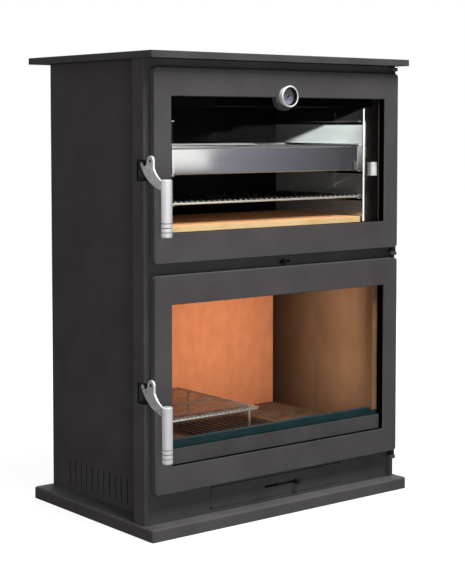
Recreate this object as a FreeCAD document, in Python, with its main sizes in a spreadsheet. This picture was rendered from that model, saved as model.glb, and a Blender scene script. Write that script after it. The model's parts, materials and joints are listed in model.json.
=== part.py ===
import FreeCAD, Part
import math
import os
from types import SimpleNamespace

import Sketcher

# Wood-burning stove with an oven above the firebox.
# The origin is the middle of the plinth's underside, +Z is up and the doors face -Y.
# Lengths are in millimetres.

SIZES = {
    # Heights, from the floor up
    "plinth_height": 29.0,
    "drawer_rise": 8.0,
    "drawer_height": 51.0,
    "drawer_door_gap": 11.0,
    "fire_door_height": 498.0,
    "door_gap": 27.0,
    "oven_door_height": 440.0,
    "door_top_margin": 20.0,
    "top_thickness": 16.0,
    # Widths, from the firebox outwards
    "mouth_width": 676.0,
    "wall_sheet": 4.0,
    "side_jacket": 3.0,
    "panel_sheet": 3.0,
    "frame_step": 45.0,
    "plinth_side_step": 7.0,
    "door_margin": 13.0,
    # Depths
    "body_depth": 466.5,
    "plinth_front_step": 40.0,
    "plinth_rear_step": 6.5,
    "top_front_step": 41.5,
    "top_rear_step": 18.0,
    "frame_depth": 45.0,
    "frame_sheet": 3.0,
    "frame_corner_radius": 4.0,
    "back_jacket": 38.0,
    # Plinth and top plate, both folded from sheet
    "plinth_sheet": 3.0,
    "plinth_edge_radius": 5.0,
    "top_sheet": 3.0,
    "top_edge_radius": 2.0,
    "top_hem_lap": 10.0,
    # Vent slots in the side panels and the back
    "vent_width": 6.0,
    "vent_height": 61.5,
    "vent_pitch": 25.1,
    "vent_rise": 14.0,
    "vent_row_setback": 90.0,
    "back_vent_pitch": 40.0,
    # Flue
    "flue_bore_radius": 75.0,
    "flue_wall": 3.0,
    "flue_flange_radius": 100.0,
    "flue_flange_thickness": 6.0,
    "flue_back_offset": 140.0,
    "flue_screw_circle": 90.0,
    "flue_screw_radius": 4.5,
    "flue_screw_height": 3.0,
    "roof_drop": 40.0,
    # Firebox
    "hearth_height": 170.0,
    "brick_thickness": 24.0,
    "floor_plate": 6.0,
    "fire_mouth_height": 375.0,
    "side_board": 20.0,
    "back_board": 25.0,
    "board_height": 414.0,
    "baffle_thickness": 25.0,
    "baffle_front_gap": 115.0,
    "grate_width": 280.0,
    "grate_depth": 220.0,
    "grate_back_offset": 205.0,
    "grate_slot": 9.0,
    "grate_pitch": 20.0,
    "grate_rim": 16.0,
    "ash_hole_ledge": 10.0,
    "log_guard_setback": 5.0,
    "log_guard_height": 43.0,
    "log_guard_sheet": 4.0,
    "log_guard_lip": 12.0,
    # Barbecue grill
    "grill_width": 286.0,
    "grill_depth": 330.0,
    "grill_height": 78.0,
    "grill_side_gap": 8.0,
    "grill_back_gap": 30.0,
    "grill_wire_radius": 1.6,
    "grill_rod_radius": 3.0,
    "grill_side_radius": 2.7,
    "grill_leg_radius": 2.4,
    "wire_inset": 9.0,
    # Oven
    "smoke_gap_side": 28.5,
    "smoke_gap_back": 48.5,
    "oven_floor_drop": 6.0,
    "oven_roof_drop": 20.0,
    "oven_sheet": 1.5,
    "oven_setback": 22.5,
    "oven_lip": 7.0,
    "mouth_below_oven": 14.0,
    "mouth_above_oven": 36.0,
    "flange_sheet": 2.0,
    "tile_thickness": 18.0,
    "tile_side_gap": 6.0,
    "tile_front_gap": 9.0,
    "tile_back_gap": 18.0,
    "runner_width": 20.0,
    "runner_sheet": 2.0,
    "runner_upstand": 9.0,
    "runner_end_gap": 4.0,
    "rack_level": 65.0,
    "tray_level": 134.0,
    "spare_level": 259.0,
    # Baking tray and oven rack
    "tray_side_gap": 3.0,
    "tray_front_gap": 3.0,
    "tray_depth": 300.0,
    "tray_height": 68.0,
    "tray_sheet": 1.2,
    "tray_corner_radius": 6.0,
    "rack_side_gap": 5.0,
    "rack_depth": 310.0,
    "rack_front_gap": 1.0,
    "rack_wire_radius": 1.4,
    "rack_rod_radius": 2.6,
    "wire_sink": 0.5,
    # Doors
    "door_seal_gap": 6.5,
    "door_thickness": 16.0,
    "stile_width": 48.0,
    "fire_bottom_rail": 62.0,
    "fire_top_rail": 67.0,
    "oven_bottom_rail": 68.0,
    "oven_top_rail": 64.0,
    "door_corner_radius": 9.0,
    "door_edge_radius": 2.0,
    "tab_radius": 31.0,
    "glass_thickness": 4.0,
    "glass_lap": 11.0,
    "gasket_width": 12.0,
    "gasket_inset": 11.0,
    "gasket_clearance": 0.3,
    "trim_height": 36.0,
    "trim_sheet": 2.5,
    "trim_end_gap": 0.5,
    "clip_width": 13.0,
    "clip_sheet": 1.5,
    "clip_set_back": 2.0,
    "clip_foot": 9.0,
    "clip_glass_gap": 0.5,
    "clip_screw_radius": 3.0,
    "clip_screw_height": 1.8,
    "keeper_tongue": 38.0,
    "keeper_height": 34.0,
    # Hinges
    "hinge_inset": 9.0,
    "lug_width": 18.0,
    "lug_thickness": 9.0,
    "lug_nose": 9.0,
    "lug_corner_radius": 6.0,
    "lug_top_gap": 7.0,
    "lug_bottom_gap": 12.0,
    "hinge_pin_radius": 5.0,
    "hinge_pin_depth": 14.0,
    "hinge_end_clearance": 1.0,
    "hinge_collar_radius": 8.0,
    "running_clearance": 0.08,
    "seat_clearance": 0.3,
    # Handles
    "oven_handle_rise": 231.0,
    "fire_handle_rise": 253.0,
    "lever_thickness": 5.5,
    "lever_gap": 1.0,
    "lever_head_radius": 12.0,
    "lever_bolt_radius": 4.0,
    "lever_bolt_socket": 2.3,
    "lever_bolt_socket_depth": 2.0,
    "claw_reach": 37.0,
    "claw_notch_radius": 12.5,
    "claw_drop": 3.5,
    "claw_tip_height": 6.0,
    "claw_back_radius": 110.0,
    "lever_neck_drop": 16.0,
    "lever_front_radius": 62.0,
    "arm_top_drop": 46.0,
    "arm_bottom_drop": 64.0,
    "grip_radius": 12.25,
    "grip_length": 128.0,
    "grip_top_drop": 39.5,
    "grip_reach": 60.0,
    "grip_socket": 2.5,
    "grip_end_radius": 2.0,
    "ring_depth": 0.9,
    "ring_width": 2.0,
    "ring_start": 11.0,
    "ring_pitch": 10.5,
    "latch_notch_height": 46.0,
    "latch_notch_rise": 2.0,
    "latch_notch_depth": 25.5,
    "stud_radius": 4.5,
    "stud_length": 10.0,
    "stud_plate": 4.0,
    "stud_plate_height": 30.0,
    "stud_plate_depth": 20.0,
    # Thermometer
    "gauge_radius": 26.0,
    "gauge_body_radius": 24.0,
    "gauge_bore_radius": 22.5,
    "gauge_depth": 16.0,
    "gauge_base": 3.0,
    "gauge_rise": 2.5,
    "gauge_offset": 6.0,
    "gauge_lip": 1.5,
    "gauge_neck": 4.0,
    "gauge_stem_radius": 4.0,
    "gauge_stem_length": 40.0,
    "gauge_stem_clearance": 1.0,
    "gauge_fit_clearance": 0.2,
    "dial_thickness": 1.0,
    "lens_thickness": 1.6,
    "lens_setback": 1.5,
    "needle_length": 17.0,
    "needle_tail": 6.0,
    "needle_width": 2.0,
    "needle_tip_width": 0.6,
    "needle_thickness": 0.8,
    "needle_hub_radius": 2.2,
    "needle_hub_height": 3.0,
    # Ash drawer and air sliders
    "drawer_width": 410.0,
    "drawer_clearance": 1.0,
    "drawer_corner_radius": 7.0,
    "drawer_box_inset": 15.0,
    "drawer_box_rise": 4.0,
    "drawer_depth": 290.0,
    "drawer_sheet": 2.0,
    "drawer_runner_width": 12.0,
    "drawer_runner_inset": 20.0,
    "primary_slot_length": 98.0,
    "primary_slot_offset": 9.0,
    "primary_slot_rise": 27.0,
    "air_slot_height": 5.0,
    "air_slot_rise": 10.0,
    "air_slot_length": 45.0,
    "air_slot_offset": 17.5,
    "air_plate": 2.0,
    "air_plate_height": 15.0,
    "air_stem_radius": 2.2,
    "air_stem_length": 5.0,
    "air_knob_radius": 6.0,
    "air_knob_length": 9.0,
    # Cuts run this far past the faces that they open
    "overrun": 5.0,
}

NEEDLE_REST_DEGREES = 135
VENT_COUNT = 11
BACK_VENT_COUNT = 13
FLUE_SCREW_COUNT = 6
GRILL_WIRE_COUNT = 22
RACK_WIRE_COUNT = 36
GRILL_LEG_SHARES = (0.12, 0.88)
GRILL_ROD_SHARES = (0.0, 0.06, 1.0)
RACK_ROD_SHARES = (0.0, 0.5, 1.0)
SIDE_CLIP_SHARE = 0.43
RAIL_CLIP_SHARES = (-0.6, 0.6)
PRIMARY_KNOB_SHARE = 0.955
SECONDARY_KNOB_SHARE = 0.32


class Size:
    """A length that carries both its value and the sheet formula that gives it."""

    def __init__(self, value, text):
        self.value = value
        self.text = text

    def __add__(self, other):
        other = as_size(other)
        return Size(self.value + other.value, f"({self.text} + {other.text})")

    def __sub__(self, other):
        other = as_size(other)
        return Size(self.value - other.value, f"({self.text} - {other.text})")

    def __neg__(self):
        return Size(-self.value, f"(-1 * {self.text})")

    def __mul__(self, factor):
        return Size(self.value * factor, f"({self.text} * {factor})")

    def __truediv__(self, factor):
        return Size(self.value / factor, f"({self.text} / {factor})")

    __radd__ = __add__
    __rmul__ = __mul__

    def __rsub__(self, other):
        return as_size(other) - self


def as_size(number):
    return number if isinstance(number, Size) else Size(float(number), str(number))


# Document, sheet and the list of finished pieces
doc = FreeCAD.newDocument("wood_stove_with_oven")
sheet = doc.addObject("Spreadsheet::Sheet", "Sizes")
for row, (name, length) in enumerate(SIZES.items(), start=1):
    sheet.set(f"A{row}", str(length))
    sheet.setAlias(f"A{row}", name)
doc.recompute()
size = SimpleNamespace(**{name: Size(float(sheet.get(name)), f"Sizes.{name}") for name in SIZES})
pieces = []

ALONG = {
    "x": FreeCAD.Rotation(FreeCAD.Vector(0, 1, 0), 90),
    "y": FreeCAD.Rotation(FreeCAD.Vector(1, 0, 0), -90),
    "front": FreeCAD.Rotation(FreeCAD.Vector(1, 0, 0), 90),
    "z": FreeCAD.Rotation(),
}


def bind(item, **formulas):
    for prop, length in formulas.items():
        item.setExpression(prop, as_size(length).text)


def place(item, x, y, z):
    for axis, length in zip("xyz", (x, y, z)):
        item.setExpression(f"Placement.Base.{axis}", as_size(length).text)


def piece(item, label):
    """Name a finished piece and list it for writing."""
    item.Label = label
    pieces.append(item)
    return item


# Part primitives and booleans
def block(low, high):
    item = doc.addObject("Part::Box", "block")
    bind(item, Length=high[0] - low[0], Width=high[1] - low[1], Height=high[2] - low[2])
    place(item, *low)
    return item


def rod(start, axis, length, radius):
    item = doc.addObject("Part::Cylinder", "rod")
    bind(item, Radius=radius, Height=length)
    item.Placement = FreeCAD.Placement(FreeCAD.Vector(), ALONG[axis])
    place(item, *start)
    return item


def fuse(*shapes):
    item = doc.addObject("Part::MultiFuse", "fuse")
    item.Shapes = list(shapes)
    return item


def cut(base, *tools):
    item = doc.addObject("Part::Cut", "cut")
    item.Base = base
    item.Tool = tools[0] if len(tools) == 1 else fuse(*tools)
    return item


def group(*shapes):
    item = doc.addObject("Part::Compound", "group")
    item.Links = list(shapes)
    return item


# Part Design bodies, sketches and features
def new_body(label, x, y, z, axis="z"):
    body = doc.addObject("PartDesign::Body", label)
    body.Placement = FreeCAD.Placement(FreeCAD.Vector(), ALONG[axis])
    place(body, x, y, z)
    return piece(body, label)


def new_sketch(body, role):
    item = body.newObject("Sketcher::SketchObject", "sketch")
    plane = next(feature for feature in body.Origin.OriginFeatures if feature.Role == role)
    item.AttachmentSupport = [(plane, "")]
    item.MapMode = "FlatFace"
    return item


def fix(sketch, kind, geometry, point, length):
    """Hold one coordinate of a sketch point at a size."""
    length = as_size(length)
    index = sketch.addConstraint(Sketcher.Constraint(kind, -1, 1, geometry, point, length.value))
    sketch.setExpression(f"Constraints[{index}]", length.text)


def arc_between(start, end, radius, turn):
    """The short arc of a radius from start to end, bulging to the left (turn 1) or to the right (turn -1)."""
    chord = end - start
    middle = (start + end) / 2
    left = FreeCAD.Vector(-chord.y, chord.x, 0).normalize()
    rise = math.sqrt(max(radius ** 2 - (chord.Length / 2) ** 2, 0.0))
    centre = middle - left * (turn * rise)
    return Part.Arc(start, centre + left * (turn * radius), end)


def outline(sketch, points):
    """A closed outline. A point is (x, y), or (x, y, radius, turn) where an arc leads to the next point."""
    corners = [(as_size(point[0]), as_size(point[1])) for point in points]
    spots = [FreeCAD.Vector(x.value, y.value, 0) for x, y in corners]
    first = sketch.GeometryCount
    count = len(points)
    starts, ends = [], []
    for index, point in enumerate(points):
        start, end = spots[index], spots[(index + 1) % count]
        if len(point) == 2:
            sketch.addGeometry(Part.LineSegment(start, end))
            starts.append(1)
            ends.append(2)
        else:
            sketch.addGeometry(arc_between(start, end, point[2].value, point[3]))
            clockwise = point[3] > 0
            starts.append(2 if clockwise else 1)
            ends.append(1 if clockwise else 2)
    for index in range(count):
        follower = (index + 1) % count
        link = (first + index, ends[index], first + follower, starts[follower])
        sketch.addConstraint(Sketcher.Constraint("Coincident", *link))
    for index, point in enumerate(points):
        fix(sketch, "DistanceX", first + index, starts[index], corners[index][0])
        fix(sketch, "DistanceY", first + index, starts[index], corners[index][1])
        if len(point) > 2:
            number = sketch.addConstraint(Sketcher.Constraint("Radius", first + index, point[2].value))
            sketch.setExpression(f"Constraints[{number}]", point[2].text)


def circle(sketch, x, y, radius):
    centre = FreeCAD.Vector(as_size(x).value, as_size(y).value, 0)
    index = sketch.addGeometry(Part.Circle(centre, FreeCAD.Vector(0, 0, 1), radius.value))
    fix(sketch, "DistanceX", index, 3, x)
    fix(sketch, "DistanceY", index, 3, y)
    number = sketch.addConstraint(Sketcher.Constraint("Radius", index, radius.value))
    sketch.setExpression(f"Constraints[{number}]", radius.text)


def rectangle(low, high):
    return [(low[0], low[1]), (high[0], low[1]), (high[0], high[1]), (low[0], high[1])]


def pad(body, sketch, length, reverse=False):
    item = body.newObject("PartDesign::Pad", "pad")
    item.Profile = sketch
    item.Reversed = reverse
    bind(item, Length=length)
    return item


def revolve(body, points):
    """A turned piece: an outline of (radius, height) points about the body's own Z axis."""
    sketch = new_sketch(body, "XZ_Plane")
    outline(sketch, points)
    item = body.newObject("PartDesign::Revolution", "turned")
    item.Profile = sketch
    item.ReferenceAxis = (sketch, ["V_Axis"])
    item.Angle = 360.0
    return item


def carve_box(body, low, high):
    item = body.newObject("PartDesign::SubtractiveBox", "opening")
    bind(item, Length=high[0] - low[0], Width=high[1] - low[1], Height=high[2] - low[2])
    place(item, *low)
    return item


def carve_hole(body, start, axis, length, radius):
    item = body.newObject("PartDesign::SubtractiveCylinder", "hole")
    bind(item, Radius=radius, Height=length)
    item.Placement = FreeCAD.Placement(FreeCAD.Vector(), ALONG[axis])
    place(item, *start)
    return item


def round_edges(body, base, radius, wanted):
    """Round the edges of a feature that a test picks out of its shape."""
    doc.recompute()
    box = base.Shape.BoundBox
    edges = [f"Edge{n}" for n, edge in enumerate(base.Shape.Edges, start=1) if wanted(edge, box)]
    item = body.newObject("PartDesign::Fillet", "rounded")
    item.Base = (base, edges)
    bind(item, Radius=radius)
    return item


def at(number, target):
    return math.isclose(number, target, abs_tol=1e-4)


def runs_along(edge, direction):
    span = edge.BoundBox
    lengths = {"x": span.XLength, "y": span.YLength, "z": span.ZLength}
    return all(at(lengths[axis], 0) == (axis != direction) for axis in "xyz")


def pattern_row(body, feature, sketch_axis, total, count):
    item = body.newObject("PartDesign::LinearPattern", "row")
    item.Originals = [feature]
    item.Direction = sketch_axis
    item.Occurrences = count
    bind(item, Length=total)
    body.Tip = item
    return item


# Places that several pieces share, worked out from the sizes
half_mouth = size.mouth_width / 2
half_wall = half_mouth + size.wall_sheet
half_carcass = half_wall + size.side_jacket + size.panel_sheet
half_frame = half_carcass + size.frame_step
half_plinth = half_frame + size.plinth_side_step
half_door = half_frame - size.door_margin
half_window = half_door - size.stile_width
half_fire = half_mouth - size.side_board
half_oven = half_mouth - size.smoke_gap_side - size.oven_sheet

plinth_depth = size.plinth_front_step + size.body_depth + size.plinth_rear_step
plinth_front = -plinth_depth / 2
frame_front = plinth_front + size.plinth_front_step
frame_rear = frame_front + size.frame_depth
inside_front = frame_front + size.frame_sheet
carcass_back = frame_front + size.body_depth
back_wall_rear = carcass_back - size.panel_sheet - size.back_jacket
back_wall_front = back_wall_rear - size.wall_sheet
door_rear = frame_front - size.door_seal_gap
door_front = door_rear - size.door_thickness
glass_rear = door_rear + size.glass_thickness
oven_front = frame_front + size.oven_setback
oven_back = back_wall_front - size.smoke_gap_back - size.oven_sheet

drawer_low = size.plinth_height + size.drawer_rise
drawer_high = drawer_low + size.drawer_height
fire_door_low = drawer_high + size.drawer_door_gap
fire_door_high = fire_door_low + size.fire_door_height
oven_door_low = fire_door_high + size.door_gap
oven_door_high = oven_door_low + size.oven_door_height
body_high = oven_door_high + size.door_top_margin
top_high = body_high + size.top_thickness
fire_window = (fire_door_low + size.fire_bottom_rail, fire_door_high - size.fire_top_rail)
oven_window = (oven_door_low + size.oven_bottom_rail, oven_door_high - size.oven_top_rail)
oven_low = oven_window[0] - size.oven_floor_drop
oven_high = oven_window[1] - size.oven_roof_drop
fire_mouth = (size.hearth_height, size.hearth_height + size.fire_mouth_height)
oven_mouth = (oven_low - size.mouth_below_oven, oven_high + size.mouth_above_oven)
floor_high = size.hearth_height - size.brick_thickness
floor_low = floor_high - size.floor_plate
board_high = floor_high + size.board_height
roof_high = body_high - size.roof_drop
roof_low = roof_high - size.wall_sheet

hinge_x = half_door - size.hinge_inset
hinge_y = door_front + size.door_thickness / 2
handle_heights = (oven_door_low + size.oven_handle_rise, fire_door_low + size.fire_handle_rise)
gauge_x = size.gauge_offset
gauge_height = oven_window[1] + size.gauge_rise
flue_y = carcass_back - size.flue_back_offset
grate_y = back_wall_front - size.grate_back_offset
air_slot_z = fire_door_high + size.air_slot_rise
air_slot = (size.air_slot_offset - size.air_slot_length / 2, size.air_slot_offset + size.air_slot_length / 2)
primary_slot_z = drawer_low + size.primary_slot_rise
half_primary = size.primary_slot_length / 2
primary_slot = (size.primary_slot_offset - half_primary, size.primary_slot_offset + half_primary)


# Casing
def base_plinth():
    """Folded plinth, open at the back, with soft upper edges."""
    body = new_body("base_plinth", 0, 0, 0)
    sketch = new_sketch(body, "XY_Plane")
    outline(sketch, rectangle((-half_plinth, plinth_front), (half_plinth, -plinth_front)))
    slab = pad(body, sketch, size.plinth_height)
    round_edges(body, slab, size.plinth_edge_radius,
                lambda edge, box: runs_along(edge, "z") or at(edge.BoundBox.ZMin, box.ZMax))
    carve_box(body,
              (size.plinth_sheet - half_plinth, plinth_front + size.plinth_sheet, size.plinth_sheet),
              (half_plinth - size.plinth_sheet, size.overrun - plinth_front,
               size.plinth_height - size.plinth_sheet))


def side_panel(label, x):
    """Side sheet with a row of upright vents low down."""
    body = new_body(label, x, frame_rear, size.plinth_height)
    sketch = new_sketch(body, "YZ_Plane")
    outline(sketch, rectangle((0, 0), (carcass_back - frame_rear, body_high - size.plinth_height)))
    pad(body, sketch, size.panel_sheet)
    vent = carve_box(body,
                     (-size.overrun, size.vent_row_setback, size.vent_rise),
                     (size.panel_sheet + size.overrun, size.vent_row_setback + size.vent_width,
                      size.vent_rise + size.vent_height))
    pattern_row(body, vent, (sketch, ["H_Axis"]), size.vent_pitch * (VENT_COUNT - 1), VENT_COUNT)


def back_panel():
    """Back sheet between the side panels, with vents at its foot."""
    half_back = half_carcass - size.panel_sheet
    body = new_body("back_panel", -half_back, carcass_back - size.panel_sheet, size.plinth_height)
    sketch = new_sketch(body, "XZ_Plane")
    outline(sketch, rectangle((0, 0), (half_back * 2, body_high - size.plinth_height)))
    pad(body, sketch, size.panel_sheet, reverse=True)
    row = size.back_vent_pitch * (BACK_VENT_COUNT - 1)
    start = half_back - row / 2 - size.vent_width / 2
    vent = carve_box(body,
                     (start, -size.overrun, size.vent_rise),
                     (start + size.vent_width, size.panel_sheet + size.overrun,
                      size.vent_rise + size.vent_height))
    pattern_row(body, vent, (sketch, ["H_Axis"]), row, BACK_VENT_COUNT)


def front_frame():
    """Folded front with side and rear returns, opened for the mouths, drawer, air slot and latches."""
    body = new_body("front_frame", 0, 0, size.plinth_height)
    sketch = new_sketch(body, "XY_Plane")
    inner = half_frame - size.frame_sheet
    lap = half_carcass - size.panel_sheet
    lip = frame_rear - size.frame_sheet
    right = [(half_frame, frame_front), (half_frame, frame_rear), (lap, frame_rear), (lap, lip), (inner, lip),
             (inner, inside_front)]
    left = [(-x, y) for x, y in reversed(right)]
    outline(sketch, right + left)
    sheet_fold = pad(body, sketch, body_high - size.plinth_height)
    round_edges(body, sheet_fold, size.frame_corner_radius,
                lambda edge, box: runs_along(edge, "z") and at(edge.BoundBox.YMax, box.YMin))
    front, rear = frame_front - size.overrun, inside_front + size.overrun
    half_slot = size.drawer_width / 2 + size.drawer_clearance
    lowest = size.plinth_height
    openings = [
        (-half_mouth, half_mouth, *fire_mouth),
        (-half_mouth, half_mouth, *oven_mouth),
        (-half_slot, half_slot, drawer_low - size.drawer_clearance, drawer_high + size.drawer_clearance),
        (*air_slot, air_slot_z - size.air_slot_height / 2, air_slot_z + size.air_slot_height / 2),
    ]
    for x_low, x_high, z_low, z_high in openings:
        carve_box(body, (x_low, front, z_low - lowest), (x_high, rear, z_high - lowest))
    for height in handle_heights:
        high = height + size.latch_notch_rise - lowest
        carve_box(body,
                  (-half_frame - size.overrun, front, high - size.latch_notch_height),
                  (-half_door, frame_front + size.latch_notch_depth, high))


def top_plate():
    """Folded top with a down-turned edge and a hem under its overhang, bored for the flue."""
    front, back = frame_front - size.top_front_step, carcass_back + size.top_rear_step
    body = new_body("top_plate", 0, 0, body_high)
    sketch = new_sketch(body, "XY_Plane")
    outline(sketch, rectangle((-half_plinth, front), (half_plinth, back)))
    slab = pad(body, sketch, size.top_thickness)
    round_edges(body, slab, size.top_edge_radius,
                lambda edge, box: runs_along(edge, "z") or at(edge.BoundBox.ZMin, box.ZMax))
    wall = size.top_sheet
    carve_box(body,
              (wall - half_plinth, front + wall, wall),
              (half_plinth - wall, back - wall, size.top_thickness - wall))
    hem = half_carcass - size.top_hem_lap
    carve_box(body,
              (-hem, frame_front + size.top_hem_lap, -size.overrun),
              (hem, carcass_back - size.top_hem_lap, wall + size.overrun))
    carve_hole(body, (0, flue_y, 0), "z", size.top_thickness + size.overrun,
               size.flue_bore_radius + size.flue_wall + size.seat_clearance)


def flue_collar():
    """Flanged collar that takes the flue pipe, down to the smoke box."""
    body = new_body("flue_collar", 0, flue_y, roof_low)
    bore, tube = size.flue_bore_radius, size.flue_bore_radius + size.flue_wall
    seat = top_high - roof_low
    crown = seat + size.flue_flange_thickness
    revolve(body, [(bore, 0), (tube, 0), (tube, seat), (size.flue_flange_radius, seat),
                   (size.flue_flange_radius, crown), (bore, crown)])


def flue_collar_screws():
    heads = []
    for number in range(FLUE_SCREW_COUNT):
        turn = 2 * math.pi * number / FLUE_SCREW_COUNT
        x = size.flue_screw_circle * math.cos(turn)
        y = flue_y + size.flue_screw_circle * math.sin(turn)
        heads.append(rod((x, y, top_high + size.flue_flange_thickness), "z", size.flue_screw_height,
                         size.flue_screw_radius))
    piece(group(*heads), "flue_collar_screws")


def fire_walls():
    """Inner steel walls round the firebox and the oven's smoke path."""
    for label, x in (("inner_left_wall", -half_wall), ("inner_right_wall", half_mouth)):
        piece(block((x, inside_front, floor_low), (x + size.wall_sheet, back_wall_rear, roof_high)), label)
    piece(block((-half_mouth, back_wall_front, floor_low), (half_mouth, back_wall_rear, roof_high)),
          "inner_back_wall")
    roof = block((-half_mouth, inside_front, roof_low), (half_mouth, back_wall_front, roof_high))
    hole = rod((0, flue_y, roof_low - size.overrun), "z", size.wall_sheet + size.overrun * 2,
               size.flue_bore_radius + size.flue_wall + size.seat_clearance)
    piece(cut(roof, hole), "smoke_box_roof")
    plate = block((-half_mouth, inside_front, floor_low), (half_mouth, back_wall_front, floor_high))
    half_hole_x = size.grate_width / 2 - size.ash_hole_ledge
    half_hole_y = size.grate_depth / 2 - size.ash_hole_ledge
    ash_hole = block((-half_hole_x, grate_y - half_hole_y, floor_low - size.overrun),
                     (half_hole_x, grate_y + half_hole_y, floor_high + size.overrun))
    piece(cut(plate, ash_hole), "firebox_floor")


# Firebox
def fire_boards():
    """Heat boards on three sides and the baffle that rests on them."""
    back = back_wall_front - size.back_board
    piece(block((-half_mouth, inside_front, floor_high), (-half_fire, back, board_high)), "left_fire_board")
    piece(block((half_fire, inside_front, floor_high), (half_mouth, back, board_high)), "right_fire_board")
    piece(block((-half_mouth, back, floor_high), (half_mouth, back_wall_front, board_high)),
          "back_fire_board")
    piece(block((-half_mouth, inside_front + size.baffle_front_gap, board_high),
                (half_mouth, back_wall_front, board_high + size.baffle_thickness)), "baffle_board")


def hearth():
    """Bricks laid round the grate."""
    back = back_wall_front - size.back_board
    x, low, high = size.grate_width / 2, grate_y - size.grate_depth / 2, grate_y + size.grate_depth / 2
    top = size.hearth_height
    piece(group(block((-half_fire, inside_front, floor_high), (-x, back, top)),
                block((x, inside_front, floor_high), (half_fire, back, top)),
                block((-x, inside_front, floor_high), (x, low, top)),
                block((-x, high, floor_high), (x, back, top))), "hearth_bricks")


def fire_grate():
    """Cast grate with through slots, set in the bricks."""
    gap = size.seat_clearance
    body = new_body("fire_grate", 0, grate_y, floor_high)
    x, y = size.grate_width / 2 - gap, size.grate_depth / 2 - gap
    sketch = new_sketch(body, "XY_Plane")
    outline(sketch, rectangle((-x, -y), (x, y)))
    pad(body, sketch, size.brick_thickness)
    count = int((size.grate_width - size.grate_rim * 2).value // size.grate_pitch.value)
    start = -size.grate_pitch * (count - 1) / 2 - size.grate_slot / 2
    slot = carve_box(body,
                     (start, size.grate_rim - y, -size.overrun),
                     (start + size.grate_slot, y - size.grate_rim, size.brick_thickness + size.overrun))
    pattern_row(body, slot, (sketch, ["H_Axis"]), size.grate_pitch * (count - 1), count)


def log_guard():
    """Upright bar with a folded lip that keeps logs off the glass."""
    front = inside_front + size.log_guard_setback
    rear = front + size.log_guard_sheet
    high = size.hearth_height + size.log_guard_height
    upright = block((-half_fire, front, size.hearth_height), (half_fire, rear, high))
    lip = block((-half_fire, rear, high - size.log_guard_sheet), (half_fire, rear + size.log_guard_lip, high))
    piece(fuse(upright, lip), "log_guard")


def wire_grid(left, front, low, width, depth, wire, cross, rod_shares, count):
    """Wires from front to back laid on cross rods, sunk a little where they are welded."""
    rods = []
    wire_z = low + cross * 2 + wire - size.wire_sink
    for share in rod_shares:
        y = front + cross + (depth - cross * 2) * share
        rods.append(rod((left, y, low + cross), "x", width, cross))
    for number in range(count):
        x = left + size.wire_inset + (width - size.wire_inset * 2) * (number / (count - 1))
        rods.append(rod((x, front, wire_z), "y", depth, wire))
    return rods


def grill_rack():
    """Barbecue grill on two wire legs, standing at the left of the hearth."""
    left = size.grill_side_gap - half_fire
    front = back_wall_front - size.back_board - size.grill_back_gap - size.grill_depth
    thick = size.grill_rod_radius
    low = size.hearth_height + size.grill_height - thick
    rods = wire_grid(left, front, low, size.grill_width, size.grill_depth, size.grill_wire_radius, thick,
                     GRILL_ROD_SHARES, GRILL_WIRE_COUNT)
    for share in GRILL_LEG_SHARES:
        y = front + size.grill_depth * share
        rods.append(rod((left, y, size.hearth_height + thick), "x", size.grill_width, thick))
        for x in (left + thick, left + size.grill_width - thick):
            rods.append(rod((x, y, size.hearth_height + thick), "z", size.grill_height - thick,
                            size.grill_leg_radius))
    for x in (left + thick, left + size.grill_width - thick):
        rods.append(rod((x, front + size.wire_sink, low + thick), "y",
                        size.grill_depth - size.wire_sink * 2, size.grill_side_radius))
    piece(fuse(*rods), "grill_rack")


# Oven
def oven_liner():
    """Stainless floor, roof, side walls with front lips, and back."""
    wall = size.oven_sheet
    outer = half_oven + wall
    piece(block((-outer, oven_front, oven_low - wall), (outer, oven_back + wall, oven_low)), "oven_floor")
    piece(block((-outer, oven_front, oven_high), (outer, oven_back + wall, oven_high + wall)), "oven_roof")
    piece(block((-half_oven, oven_back, oven_low), (half_oven, oven_back + wall, oven_high)), "oven_back")
    lip = half_oven - size.oven_lip
    piece(fuse(block((-outer, oven_front, oven_low), (-half_oven, oven_back + wall, oven_high)),
               block((-half_oven, oven_front, oven_low), (-lip, oven_front + wall, oven_high))),
          "oven_left_wall")
    piece(fuse(block((half_oven, oven_front, oven_low), (outer, oven_back + wall, oven_high)),
               block((lip, oven_front, oven_low), (half_oven, oven_front + wall, oven_high))),
          "oven_right_wall")


def oven_mouth_flange():
    """Plate that joins the liner's mouth to the fire walls."""
    outer = half_oven + size.oven_sheet
    front, rear = oven_front, oven_front + size.flange_sheet
    plate = block((-half_mouth, front, oven_mouth[0]), (half_mouth, rear, oven_mouth[1]))
    opening = block((-outer, front - size.overrun, oven_low - size.oven_sheet),
                    (outer, rear + size.overrun, oven_high + size.oven_sheet))
    piece(cut(plate, opening), "oven_mouth_flange")


def oven_runners():
    """Angle runners at three levels on both side walls."""
    front = oven_front + size.oven_sheet + size.runner_end_gap
    back = oven_back - size.runner_end_gap
    edge = half_oven - size.runner_width
    web = half_oven - size.runner_sheet
    angles = []
    for level in (size.rack_level, size.tray_level, size.spare_level):
        top = oven_low + level
        low = top - size.runner_sheet
        foot = top - size.runner_upstand
        angles.append(fuse(block((-half_oven, front, low), (-edge, back, top)),
                           block((-half_oven, front, foot), (-web, back, low))))
        angles.append(fuse(block((edge, front, low), (half_oven, back, top)),
                           block((web, front, foot), (half_oven, back, low))))
    piece(group(*angles), "oven_runners")


def oven_floor_tile():
    """Refractory slab on the oven floor."""
    x = half_oven - size.tile_side_gap
    piece(block((-x, oven_front + size.tile_front_gap, oven_low),
                (x, oven_back - size.tile_back_gap, oven_low + size.tile_thickness)), "oven_floor_tile")


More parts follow.
